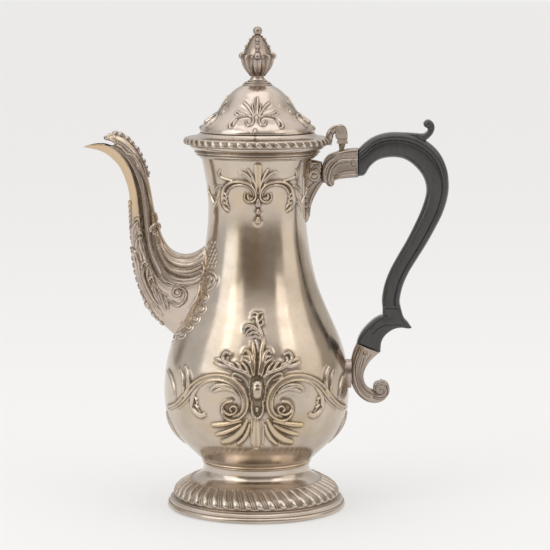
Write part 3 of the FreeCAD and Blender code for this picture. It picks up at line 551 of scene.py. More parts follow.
BELLY_SINGLE = {
    "boss": [(-0.1, 80.0, 2.8, 1.9), (-0.1, 77.7, 3.1, 2.4), (-0.1, 75.4, 2.8, 1.9)],
    "boss2": [(-0.2, 67.0, 1.05, 1.35), (-0.2, 66.2, 1.05, 1.35)],
    "pc": [(-0.7, 60.3, 1.3, 1.1), (-0.8, 54.7, 1.9, 1.45), (-0.8, 48.2, 2.2, 1.5), (-0.7, 43.6, 1.9, 1.2)],
    "s1": [(0.9, 86.6, 0.6, 0.7), (2, 94.3, 0.7, 0.85), (3.3, 99.7, 0.75, 0.9), (3.8, 104.5, 0.7, 0.95),
        (2.9, 108.8, 0.75, 1), (0.9, 112.5, 0.8, 1.05), (-0.5, 115.7, 0.8, 1.1), (0.6, 118.7, 0.75, 1.15),
        (3.5, 119.6, 0.5, 0.95)],
    "s1a": [(0.3, 116, 0.5, 0.9), (-2.5, 117.5, 0.65, 1), (-4.3, 116.8, 0.4, 0.8)],
    "s1b": [(0.7, 118.4, 0.5, 0.9), (-1.7, 119.6, 0.6, 1), (-3.7, 119, 0.4, 0.8)],
    "s1c": [(0.7, 114.6, 0.5, 0.9), (3.3, 116.4, 0.65, 1), (4, 118.1, 0.4, 0.8)],
    "s1d": [(1.4, 112, 0.5, 0.8), (4, 113.9, 0.6, 0.9), (4.2, 115.4, 0.4, 0.7)],
    "s2": [(3.6, 103.9, 0.5, 0.8), (1.6, 108.2, 0.8, 1), (-1.9, 111.3, 1, 1.1), (-6.1, 112.6, 0.95, 1.15),
        (-9.3, 111.4, 0.8, 1.1), (-9.6, 109.7, 0.5, 0.9)],
    "s2a": [(0.6, 108, 0.45, 0.8), (-3.1, 109.1, 0.7, 0.9), (-5.6, 108.3, 0.45, 0.7)],
    "s2b": [(-3, 110.9, 0.45, 0.8), (-6.2, 110.3, 0.65, 0.9), (-8, 108.8, 0.4, 0.7)],
    "s2c": [(2.4, 105.3, 0.45, 0.7), (-1.3, 107, 0.65, 0.8), (-3.8, 106.3, 0.4, 0.6)],
    "s3": [(3.5, 99.7, 0.4, 0.6), (4.8, 103.4, 0.55, 0.75), (4.8, 106.6, 0.35, 0.6)],
    "s4": [(0.6, 98.6, 0.4, 0.6), (-0.1, 102.4, 0.6, 0.7), (-1.1, 105, 0.4, 0.5)],
}
NECK_PAIRS = {
    "side0": [(-1.0, 186.5, 0.4, 0.5), (-3.2, 191.5, 0.5, 0.8), (-6.6, 196.4, 0.6, 0.9), (-10.6, 200.0, 0.5, 0.8)],
    "side": [(-1.3, 186.1, 0.4, 0.6), (-4.4, 190.4, 0.6, 0.85), (-7.8, 193.7, 0.8, 1), (-12, 196.5, 0.95, 1.1),
        (-16.2, 198, 0.95, 1.15), (-19.5, 198.2, 0.75, 1)],
    "c": [(-8.1, 183.6, 0.35, 0.8), (-10.4, 184.1, 0.4, 0.9), (-11.1, 185.5, 0.45, 0.9)],
    "cout": [(-14.5, 186, 0.4, 0.8), (-15.2, 183.8, 0.5, 0.95), (-12.7, 182, 0.55, 1.05), (-8.6, 181.4, 0.6, 1.1),
        (-4.4, 182.4, 0.6, 1.15), (-2.4, 184.7, 0.6, 1.15), (-3.5, 187.8, 0.6, 1.15), (-6.8, 190.5, 0.65, 1.15),
        (-11.9, 192.3, 0.7, 1.15), (-18.9, 193, 0.7, 1.15), (-27.2, 192.8, 0.75, 1.15), (-34.7, 191.3, 0.8, 1.15),
        (-40.1, 188.9, 0.85, 1.15), (-42.9, 185.9, 0.9, 1.15), (-43.7, 182.8, 0.9, 1.15), (-42.8, 180, 0.85, 1.15),
        (-39.9, 177.4, 0.8, 1.15), (-35.6, 175.9, 0.6, 1)],
    "cin": [(-4.7, 184.9, 0.3, 0.75), (-5.8, 187.5, 0.35, 0.8), (-9.1, 189.5, 0.4, 0.8), (-14, 190.8, 0.4, 0.8),
        (-20.3, 191.2, 0.4, 0.8), (-27.6, 190.5, 0.4, 0.8), (-33.7, 188.5, 0.4, 0.8), (-36.7, 186.1, 0.4, 0.8)],
    "vol": [(-6.2, 183.6, 0.4, 0.9), (-8.6, 182.9, 0.45, 0.95), (-11.2, 183.5, 0.45, 0.95), (-12, 185, 0.4, 0.85)],
    "lobe1": [(-41.1, 186.2, 0.4, 0.9), (-37.7, 184.9, 0.6, 1), (-37.9, 183.2, 0.4, 0.8)],
    "lobe2": [(-41.6, 183.3, 0.4, 0.9), (-37.6, 182, 0.6, 1), (-37.4, 180.3, 0.4, 0.8)],
    "lobe3": [(-41.2, 180.5, 0.4, 0.9), (-36.9, 179.5, 0.6, 1), (-34.7, 177.9, 0.4, 0.8)],
    "spray": [(-28.3, 193.5, 0.35, 0.5), (-35.8, 194, 0.45, 0.6), (-42.5, 195, 0.5, 0.7), (-45, 197.2, 0.5, 0.75),
        (-43, 199.4, 0.4, 0.6)],
    "spray2": [(-41, 190, 0.35, 0.5), (-48, 189.8, 0.45, 0.6), (-55.5, 187.6, 0.5, 0.7), (-60.4, 184.7, 0.4, 0.6)],
    "edge1": [(-60.6, 179.5, 0.4, 0.7), (-65.4, 182.4, 0.6, 0.9), (-71.3, 185.4, 0.6, 0.95),
        (-71.6, 188.2, 0.4, 0.8)],
    "edge2": [(-54.9, 180.9, 0.35, 0.6), (-60.5, 177.7, 0.5, 0.7), (-63.3, 174.7, 0.35, 0.5)],
    "edge3": [(-54.7, 182, 0.35, 0.5), (-50.3, 184.8, 0.5, 0.7), (-48.7, 187.4, 0.35, 0.5)],
}
NECK_SINGLE = {
    "pet": [(-0.1, 201.3, 1.7, 1.15), (-0.1, 198.0, 1.65, 1.15), (0.1, 192.0, 1.2, 1.0), (0.2, 186.8, 0.6, 0.6)],
    "husk": [(0.2, 182.2, 1, 0.9), (0.2, 179.7, 1.15, 1.1)],
    "pearl1": [(0.2, 176.7, 0.75, 0.9), (0.2, 175.5, 1.05, 1.1)],
    "pearl2": [(0.1, 172.2, 0.8, 0.9), (0, 170.4, 1.1, 1.15)],
}
LID_PAIRS = {
    "petline": [(-2.4, 239.5, 0.3, 0.6), (-2.7, 236.5, 0.35, 0.65), (-1.4, 230.4, 0.3, 0.5)],
    "inner": [(-7.1, 236.1, 0.35, 0.55), (-5.9, 233.7, 0.5, 0.65), (-2.7, 229.9, 0.3, 0.5)],
    "outer": [(-21.6, 236.9, 0.65, 0.95), (-14, 234.9, 0.6, 0.9), (-8.1, 232.3, 0.45, 0.75),
        (-3.9, 229.4, 0.35, 0.6)],
    "c": [(-12.2, 227, 0.4, 0.7), (-10.4, 225.4, 0.5, 0.85), (-7.3, 224.7, 0.55, 0.95), (-4.4, 225.5, 0.55, 0.95),
        (-3.5, 227.3, 0.55, 0.95), (-5.3, 228.8, 0.55, 0.95), (-9.7, 229.7, 0.55, 0.95), (-16, 229.6, 0.55, 0.9),
        (-23.7, 228.7, 0.55, 0.85), (-28.4, 227.3, 0.55, 0.85), (-29.8, 225.4, 0.6, 0.9), (-28.3, 223.7, 0.7, 0.95),
        (-25.9, 223.3, 0.5, 0.8)],
    "c2": [(-24.9, 227.6, 0.35, 0.5), (-25.7, 226, 0.45, 0.7), (-25.2, 224.7, 0.35, 0.6)],
    "loop": [(-8.1, 229.3, 0.3, 0.4), (-16.7, 230.5, 0.35, 0.5), (-24.8, 231.2, 0.4, 0.6), (-30.6, 232, 0.45, 0.7),
        (-32.1, 230.7, 0.4, 0.6), (-26.7, 230.2, 0.35, 0.5)],
}
LID_SINGLE = {
    "pet": [(1.4, 239.8, 0.5, 0.6), (1.1, 236.5, 0.6, 0.65), (0.3, 231, 0.35, 0.5)],
    "bead": [(-0.9, 222.4, 0.8, 0.8), (-1.1, 221.4, 0.8, 0.8)],
}
# ------------------------------------------------------------------ ornament of the spout, sockets and handle
# Each stroke is a kind and its rows: (x, z, half width, rise) in the plane of the spout and handle, in mm.
SPOUT_WORK = [
        ("flute", [(-80.27, 209.01, 0.5, 0.5), (-77.41, 206.13, 0.61, 0.66), (-74.55, 202.1, 0.73, 0.82), (-71.69, 196.62,
        0.95, 0.92), (-69.7, 190.56, 1.16, 1.02), (-68.11, 184.2, 1.38, 1.07), (-67.16, 177.24, 1.52, 1.1), (-66.32, 168.54,
        1.58, 1.1), (-65.2, 159.82, 1.57, 1.07), (-63.5, 151.09, 1.52, 1.02), (-61.21, 144.1, 1.42, 0.92), (-58.04, 137.68,
        1.32, 0.82), (-53.99, 133.02, 1.16, 0.62), (-49.94, 130.69, 1, 0.4)]),
        ("flute", [(-73.96, 204.41, 0.4, 0.5), (-70.52, 200.38, 0.5, 0.59), (-67.66, 196.06, 0.6, 0.67), (-65.37, 191.15,
        0.75, 0.76), (-63.66, 184.79, 0.9, 0.84), (-61.96, 177.26, 1, 0.9), (-61.41, 169.72, 1.1, 0.9), (-61.32, 162.74, 1.15,
        0.9), (-60.76, 156.92, 1.2, 0.86), (-59.62, 151.1, 1.1, 0.81), (-57.55, 145.28, 1, 0.77), (-54.84, 140.03, 0.95,
        0.73), (-51.66, 136.24, 0.9, 0.67), (-48.19, 134.21, 0.85, 0.59), (-42.97, 133.64, 0.8, 0.5)]),
        ("flute", [(-59.55, 159.59, 1, 0.6), (-58.41, 153.2, 1.23, 0.71), (-56.41, 147.68, 1.45, 0.82), (-53.82, 142.74, 1.61,
        0.9), (-50.36, 138.96, 1.65, 0.9), (-45.73, 136.65, 1.69, 0.9), (-40.53, 136.08, 1.62, 0.82), (-35.9, 136.97, 1.51,
        0.71), (-32.42, 138.73, 1.4, 0.6)]),
        ("flute", [(-57.19, 157.97, 0.9, 0.5), (-55.76, 152.45, 1.07, 0.63), (-53.58, 147.81, 1.24, 0.76), (-50.88, 144.62,
        1.3, 0.8), (-47.41, 142.48, 1.3, 0.8), (-42.21, 141.62, 1.27, 0.76), (-37.01, 142.34, 1.19, 0.63), (-32.39, 144.39,
        1.1, 0.5)]),
        ("flute", [(-54.03, 153.62, 0.7, 0.4), (-52.02, 150.43, 0.85, 0.5), (-49.13, 147.94, 1, 0.6), (-45.09, 146.79, 1,
        0.6), (-39.89, 146.87, 1, 0.6), (-35.27, 148.28, 0.9, 0.5), (-32.38, 150.5, 0.8, 0.4)]),
        ("flute", [(-52.06, 132.38, 0.8, 0.5), (-48.02, 131.11, 0.8, 0.5), (-42.81, 130.66, 0.8, 0.5), (-37.6, 131.26, 0.8,
        0.5), (-33.26, 133.03, 0.8, 0.5)]),
        ("flute", [(-77.38, 211.32, 0.3, 0.35), (-74.52, 208.74, 0.43, 0.35), (-71.94, 205.86, 0.47, 0.35), (-69.36, 201.54,
        0.4, 0.35)]),
        ("round", [(-60.81, 160.53, 0.4, 0.3), (-59.96, 154.13, 0.45, 0.38), (-58.53, 147.73, 0.5, 0.47), (-56.23, 142.48,
        0.55, 0.55), (-53.06, 137.83, 0.55, 0.57), (-49.3, 134.33, 0.55, 0.58), (-44.67, 132.6, 0.55, 0.6), (-39.45, 132.61,
        0.53, 0.53), (-35.39, 133.62, 0.52, 0.47), (-32.49, 135.56, 0.5, 0.4)]),
        ("round", [(-57.09, 152.04, 0.4, 0.3), (-55.54, 147.8, 0.44, 0.39), (-53.24, 144.02, 0.49, 0.47), (-50.35, 141.12,
        0.53, 0.56), (-46.31, 139.68, 0.54, 0.59), (-41.1, 139.29, 0.53, 0.56), (-36.47, 140.18, 0.51, 0.53), (-32.42, 142.23,
        0.5, 0.5)]),
        ("round", [(-55.52, 153.21, 0.35, 0.3), (-53.8, 150.02, 0.39, 0.36), (-50.92, 147.12, 0.44, 0.41), (-47.45, 145.38,
        0.48, 0.47), (-42.83, 144.53, 0.49, 0.49), (-38.2, 145.01, 0.48, 0.46), (-34.15, 146.48, 0.46, 0.43), (-31.55, 148.64,
        0.45, 0.4)]),
        ("round", [(-69.31, 199.89, 0.35, 0.2), (-67.03, 195.28, 0.46, 0.25), (-65.61, 189.5, 0.57, 0.3), (-64.77, 182.56,
        0.67, 0.35), (-64.04, 175.61, 0.76, 0.38), (-63.32, 167.49, 0.78, 0.42), (-62.43, 159.36, 0.73, 0.45), (-61.12, 151.8,
        0.67, 0.4), (-58.83, 144.81, 0.53, 0.35), (-55.67, 138.4, 0.4, 0.3)]),
        ("round", [(-56.16, 133.69, 0.45, 0.4), (-52.12, 130.2, 0.45, 0.4), (-47.49, 129.34, 0.45, 0.4)]),
        ("sink", [(-59.17, 162.35, 1.1, 1.1), (-57.14, 163.93, 1.1, 1.1)]),
        ("round", [(-58.55, 171.65, 0.9, 0.95), (-57.74, 168.45, 0.9, 0.95)]),
        ("flat", [(-59.41, 160.42, 1.4, 0.3), (-58.27, 155.19, 1.6, 0.3), (-56.55, 151.11, 1, 0.3)]),
        ("flute", [(-58.25, 161.01, 0.35, 0.3), (-57.69, 156.35, 0.35, 0.3), (-56.54, 152.86, 0.35, 0.3)]),
        ("flat", [(-84.4, 217.21, 1.6, 0.5), (-80.37, 216.36, 2.2, 0.54), (-76.35, 214.07, 2.4, 0.55), (-72.33, 210.62, 2.4,
        0.53), (-69.46, 206.59, 2.2, 0.47), (-67.18, 201.97, 1.8, 0.38), (-65.18, 196.19, 1.2, 0.3)]),
        ("flute", [(-83.82, 218.37, 0.42, 0.55), (-79.79, 217.34, 0.42, 0.55), (-76.35, 215.22, 0.42, 0.55), (-72.9, 212.06,
        0.42, 0.55), (-70.03, 208.61, 0.42, 0.55), (-67.74, 204.86, 0.42, 0.55), (-65.74, 200.24, 0.42, 0.55)]),
        ("flute", [(-81.75, 214.52, 0.42, 0.55), (-78.02, 212.98, 0.42, 0.55), (-74.86, 210.68, 0.42, 0.55), (-72.28, 208.1,
        0.42, 0.55), (-69.99, 205.22, 0.42, 0.55), (-67.7, 201.18, 0.42, 0.55)]),
        ("round", [(-80.55, 211.77, 0.4, 0.5), (-78.25, 210.63, 0.46, 0.61), (-76.48, 208.67, 0.51, 0.73), (-74.81, 206.83,
        0.55, 0.8), (-72.8, 206.49, 0.55, 0.8), (-70.85, 205.46, 0.55, 0.8), (-69.01, 203.39, 0.51, 0.7), (-67.64, 200.63,
        0.46, 0.55), (-65.93, 196.36, 0.4, 0.4)]),
        ("round", [(-85.9, 215.03, 0.6, 0.6), (-86.18, 216.64, 0.65, 0.7), (-84.9, 217.68, 0.7, 0.8), (-83.18, 217.4, 0.65,
        0.65), (-82.03, 215.96, 0.6, 0.5)]),
        ("round", [(-85.51, 213.24, 0.5, 0.5), (-83.49, 212.5, 0.5, 0.5), (-81.76, 213.25, 0.5, 0.5)]),
        ("flute", [(-82.57, 210.44, 0.35, 0.45), (-79.71, 207.68, 0.35, 0.45), (-76.84, 204.17, 0.35, 0.45), (-74.27, 200.08,
        0.35, 0.45)]),
        ("round", [(-73.82, 178.66, 1, 1.15), (-73.83, 177.15, 1, 1.15)]),
        ("round", [(-73.95, 175.75, 1, 1.15), (-73.96, 174.23, 1, 1.15)]),
        ("round", [(-73.85, 172.84, 1, 1.15), (-73.86, 171.32, 1, 1.15)]),
        ("round", [(-73.75, 169.92, 1, 1.15), (-73.76, 168.41, 1, 1.15)]),
        ("round", [(-73.88, 167.01, 1, 1.15), (-73.89, 165.49, 1, 1.15)]),
        ("round", [(-73.78, 164.09, 1, 1.15), (-73.78, 162.57, 1, 1.15)]),
        ("round", [(-73.91, 161.17, 1, 1.15), (-73.91, 159.65, 1, 1.15)]),
        ("round", [(-73.69, 158.25, 1, 1.15), (-73.69, 156.73, 1, 1.15)]),
        ("round", [(-73.82, 155.32, 1, 1.15), (-73.82, 153.8, 1, 1.15)]),
        ("round", [(-74.18, 153.1, 1.1, 0.95), (-73.96, 149.88, 1.1, 0.95)]),
        ("leaf", [(-70.5, 153.28, 1.6, 0.6), (-70.88, 157.94, 2.2, 0.9), (-70.63, 163.18, 2.3, 1.1), (-69.11, 166.97, 1.2,
        0.9)]),
        ("round", [(-70.96, 167.95, 0.6, 1), (-69.27, 169.12, 0.9, 1.5), (-67.83, 168.08, 0.8, 1.3), (-67.49, 165.81, 0.5,
        0.8)]),
        ("leaf", [(-67.64, 143.95, 1.5, 0.6), (-68.25, 149.79, 2.1, 1), (-68.35, 155.04, 2.1, 1.1), (-67.41, 158.54, 1.3,
        0.9)]),
        ("round", [(-69.26, 158.76, 0.6, 1), (-68.09, 160.52, 0.9, 1.6), (-66.47, 160.75, 0.9, 1.4), (-65.78, 159.13, 0.5,
        0.8)]),
        ("flat", [(-69.42, 144.43, 2.4, 0.4), (-67.14, 136.86, 3.4, 0.4), (-63.7, 129.29, 4, 0.4), (-59.67, 122.29, 4, 0.4),
        (-55.63, 115.86, 2.6, 0.4)]),
        ("round", [(-62.78, 142, 0.4, 0.7), (-61.06, 138.22, 0.52, 0.88), (-59.45, 134.13, 0.6, 1), (-57.61, 130.05, 0.6, 1),
        (-55.07, 127.14, 0.54, 0.84), (-51.6, 125.34, 0.45, 0.6)]),
        ("round", [(-66.55, 140.7, 0.7, 1), (-66.19, 143.03, 1, 1.6), (-64.57, 144.32, 0.9, 1.5), (-62.83, 143.04, 0.6,
        0.9)]),
        ("round", [(-66.14, 141.99, 0.9, 1.2), (-65.35, 136.16, 1.1, 1.4), (-63.17, 129.74, 1.1, 1.3), (-60.58, 124.49, 1, 1),
        (-57.41, 119.52, 0.6, 0.6)]),
        ("round", [(-62.9, 141.42, 0.7, 1), (-63.26, 136.75, 0.9, 1.3), (-61.89, 131.5, 0.8, 1.1), (-59.94, 127.41, 0.5,
        0.7)]),
        ("flute", [(-64.52, 142, 0.5, 0.9), (-64.19, 137.33, 0.8, 0.9), (-62.41, 131.79, 0.7, 0.9), (-60.28, 127.41, 0.4,
        0.9)]),
        ("leaf", [(-73.22, 151.75, 0.8, 0.9), (-71.26, 149.78, 1.8, 1.2), (-69.31, 144.77, 2.1, 1.2), (-68.07, 137.19, 2.1,
        1.1), (-65.9, 130.18, 1.9, 1), (-62.9, 123.75, 1.7, 0.9), (-59.79, 118.49, 1, 0.5)]),
        ("round", [(-61.95, 133.96, 0.6, 1), (-61.24, 135.72, 0.9, 1.4), (-59.86, 135.37, 0.8, 1.3), (-59.17, 133.1, 0.5,
        0.7)]),
        ("leaf", [(-59.86, 133.97, 1, 1), (-59.3, 129.3, 1.5, 1.3), (-57.69, 124.63, 1.5, 1.2), (-55.33, 120.25, 0.8, 0.6)]),
        ("leaf", [(-56.59, 128.28, 0.9, 0.9), (-55.33, 124.19, 1.4, 1.2), (-53.83, 120.11, 1.3, 1.1), (-52.8, 116.89, 0.6,
        0.5)]),
        ("leaf", [(-53.24, 124.2, 0.7, 0.8), (-51.97, 121.4, 1.2, 1.1), (-51.17, 118.36, 0.6, 0.5)]),
        ("leaf", [(-59.38, 120.53, 0.8, 0.7), (-57.08, 116.74, 1.3, 1), (-54.77, 113.52, 0.6, 0.5)]),
        ("round", [(-72.75, 146.49, 1.08, 1.02), (-72.18, 145.09, 1.08, 1.02)]),
        ("round", [(-71.96, 142.39, 1.08, 1.02), (-71.38, 140.99, 1.08, 1.02)]),
        ("round", [(-70.93, 138.29, 1.08, 1.02), (-70.35, 136.89, 1.08, 1.02)]),
        ("round", [(-69.78, 134.19, 1.08, 1.02), (-69.2, 132.78, 1.08, 1.02)]),
        ("round", [(-68.52, 130.08, 1.08, 1.02), (-67.94, 128.67, 1.08, 1.02)]),
        ("round", [(-67.02, 126.27, 1.08, 1.02), (-66.44, 124.86, 1.08, 1.02)]),
        ("round", [(-65.63, 123.04, 1.08, 1.02), (-65.05, 121.63, 1.08, 1.02)]),
        ("round", [(-64.13, 119.34, 1.56, 1.7), (-63.55, 117.92, 1.56, 1.7)]),
        ("round", [(-62.27, 116.28, 1.08, 1.02), (-61.7, 114.87, 1.08, 1.02)]),
        ("round", [(-60.83, 112.87, 1.56, 1.7), (-60.25, 111.45, 1.56, 1.7)]),
        ("round", [(-58.38, 110.69, 1.08, 1.19), (-57.81, 109.28, 1.08, 1.19)]),
        ("round", [(-55.77, 108.34, 1.08, 1.19), (-55.19, 106.93, 1.08, 1.19)]),
        ("round", [(-70.36, 169.44, 0.5, 0.8), (-68.75, 169.79, 0.77, 1.27), (-67.59, 168.87, 0.77, 1.27), (-67.78, 166.89,
        0.5, 0.8)]),
        ("round", [(-69.13, 160.38, 0.5, 0.8), (-67.97, 161.66, 0.7, 1.15), (-66.35, 161.55, 0.9, 1.5), (-65.9, 159.58, 0.7,
        1.15), (-66.6, 157.6, 0.5, 0.8)]),
        ("round", [(-67.52, 157.89, 0.9, 0.8), (-66.5, 153.52, 1.3, 1.07), (-65.13, 148.87, 1.4, 1.1), (-64.33, 145.08, 1.2,
        0.9)]),
        ("round", [(-68.75, 167.47, 0.8, 0.6), (-68.19, 163.99, 1.2, 1), (-68.55, 161.08, 0.7, 0.6)]),
        ("round", [(-73.73, 152.16, 0.5, 0.8), (-72, 151.64, 0.83, 1.2), (-70.16, 149.78, 0.87, 1.2), (-68.67, 146.88, 0.6,
        0.8)]),
        ("round", [(-50.84, 122.44, 0.5, 0.6), (-48.24, 120.06, 0.6, 0.79), (-45.35, 119.37, 0.69, 0.98), (-42.98, 121.13,
        0.76, 1.13), (-41.12, 123.93, 0.78, 1.21), (-40.65, 126.85, 0.8, 1.28), (-42.15, 129.3, 0.8, 1.3), (-44.75, 130.34,
        0.8, 1.3), (-47.18, 129.39, 0.8, 1.29), (-48.17, 127.18, 0.78, 1.25), (-46.78, 125.31, 0.76, 1.22), (-44.47, 125.67,
        0.72, 1.15), (-43.66, 127.43, 0.66, 1.08), (-44.7, 128.47, 0.6, 1)]),
        ("sink", [(-43.61, 123.63, 0.9, 0.5), (-42.39, 126.5, 1.1, 0.5), (-44.12, 128.82, 0.8, 0.5)]),
        ("leaf", [(-49.1, 122.16, 0.5, 0.4), (-45.64, 120.42, 0.7, 0.53), (-42.75, 120.84, 0.7, 0.53), (-40.43, 123.06, 0.5,
        0.4)]),
        ("flat", [(-50.9, 115.58, 2.2, 0.25), (-47.43, 112.67, 3, 0.25), (-45.12, 110.34, 2, 0.25)]),
]
SOCKET_WORK = [
        ("sink", [(45.05, 195.37, 2.2, 0.75), (47.34, 198.27, 3.3, 0.75), (51.08, 199.38, 3.5, 0.75), (54.53, 199.62, 3.4,
        0.75), (56.83, 199.63, 3.2, 0.75)]),
        ("round", [(58.3, 203.62, 0.75, 0.55), (51.62, 203.65, 0.79, 0.66), (47.13, 202.83, 0.84, 0.76), (44.04, 200.74, 0.86,
        0.83), (42.27, 197.85, 0.89, 0.87), (41.49, 194.49, 0.91, 0.9), (41.45, 191.61, 0.93, 0.9), (42.67, 189.53, 0.95,
        0.9)]),
        ("round", [(44.79, 192.19, 0.55, 0.6), (48.23, 194.17, 0.55, 0.6), (52.84, 195.11, 0.55, 0.6), (58.25, 195.25, 0.55,
        0.6)]),
        ("round", [(57.61, 202.92, 0.42, 0.5), (57.81, 199.75, 0.42, 0.5), (57.96, 195.71, 0.42, 0.5)]),
        ("flute", [(37.72, 197.95, 0.5, 0.5), (38.96, 201.65, 0.73, 0.5), (41.36, 204.54, 0.75, 0.5), (44.69, 206.28, 0.62,
        0.5), (48.14, 206.98, 0.4, 0.5)]),
        ("round", [(48.73, 205.49, 0.4, 0.35), (53.33, 205.85, 0.4, 0.35), (58.17, 205.87, 0.4, 0.35)]),
        ("flute", [(48.16, 204.68, 0.35, 0.4), (53.34, 204.87, 0.35, 0.4), (58.17, 204.83, 0.35, 0.4)]),
        ("flute", [(39.94, 193.33, 0.38, 0.45), (39.69, 196.8, 0.38, 0.45), (40.82, 200.27, 0.38, 0.45), (43.28, 202.81, 0.38,
        0.45), (46.72, 204.38, 0.38, 0.45)]),
        ("round", [(55.14, 202.68, 0.95, 0.8), (55.38, 201.47, 0.95, 0.8)]),
]
BRACKET_WORK = [
        ("round", [(34.62, 198, 0.5, 0.8), (33.56, 198.25, 0.5, 0.8), (32.52, 198.19, 0.49, 0.79), (31.58, 197.83, 0.49,
        0.79), (30.82, 197.22, 0.48, 0.79), (30.3, 196.44, 0.48, 0.78), (30.05, 195.57, 0.47, 0.78), (30.07, 194.69, 0.47,
        0.78), (30.36, 193.89, 0.47, 0.77), (30.85, 193.24, 0.46, 0.77), (31.5, 192.78, 0.46, 0.77), (32.23, 192.56, 0.45,
        0.76), (32.96, 192.57, 0.45, 0.76), (33.63, 192.8, 0.44, 0.76), (34.18, 193.2, 0.44, 0.75), (34.55, 193.74, 0.44,
        0.75), (34.74, 194.34, 0.43, 0.75), (34.73, 194.94, 0.43, 0.74), (34.55, 195.48, 0.42, 0.74), (34.22, 195.93, 0.42,
        0.73), (33.8, 196.23, 0.41, 0.73), (33.32, 196.38, 0.41, 0.73), (32.85, 196.37, 0.41, 0.72), (32.42, 196.23, 0.4,
        0.72), (32.08, 195.97, 0.4, 0.72), (31.86, 195.64, 0.39, 0.71), (31.75, 195.28, 0.39, 0.71), (31.77, 194.92, 0.38,
        0.71), (31.89, 194.61, 0.38, 0.7), (32.08, 194.38, 0.38, 0.7), (32.32, 194.23, 0.37, 0.7), (32.58, 194.17, 0.37,
        0.69), (32.81, 194.2, 0.36, 0.69), (33, 194.3, 0.36, 0.69), (33.14, 194.44, 0.35, 0.68), (33.2, 194.6, 0.35, 0.68)]),
        ("round", [(31.51, 198.14, 0.55, 0.7), (33.52, 200.17, 0.55, 0.7), (35.82, 200.41, 0.55, 0.7), (37.85, 198.74, 0.55,
        0.7), (38.55, 196.72, 0.55, 0.7)]),
        ("round", [(30.34, 201.89, 0.45, 0.4), (33.8, 201.79, 0.45, 0.4), (37.26, 200.76, 0.45, 0.4)]),
        ("flute", [(30.33, 202.76, 0.4, 0.4), (33.79, 202.71, 0.4, 0.4), (37.54, 201.92, 0.4, 0.4)]),
        ("round", [(37.03, 191.22, 0.5, 0.5), (34.17, 187.45, 0.6, 0.6), (31.88, 183.1, 0.7, 0.7), (30.75, 178.17, 0.65,
        0.65), (30.84, 173.53, 0.6, 0.6)]),
        ("flute", [(35.01, 190.35, 0.5, 0.5), (32.44, 186.87, 0.5, 0.5), (30.21, 182.51, 0.5, 0.5), (29.31, 177.58, 0.5,
        0.5)]),
        ("leaf", [(33.28, 190.34, 0.8, 0.5), (30.42, 187.15, 1, 0.63), (28.42, 183.38, 0.97, 0.6), (27.28, 178.74, 0.7,
        0.4)]),
        ("round", [(28.28, 186.39, 0.75, 0.75), (29.78, 187.32, 0.75, 0.75)]),
        ("round", [(27.44, 183.2, 0.75, 0.75), (28.93, 184.13, 0.75, 0.75)]),
        ("round", [(26.99, 180.13, 0.75, 0.75), (28.49, 181.06, 0.75, 0.75)]),
        ("round", [(27.7, 177.11, 0.75, 0.75), (29.19, 178.05, 0.75, 0.75)]),
        ("round", [(28.52, 174.45, 0.75, 0.75), (30.02, 175.38, 0.75, 0.75)]),
        ("round", [(30.69, 174.02, 1.1, 1), (31.22, 172.17, 1.1, 1)]),
        ("flute", [(38.16, 194.41, 0.4, 0.4), (37.78, 191.8, 0.4, 0.4)]),
]
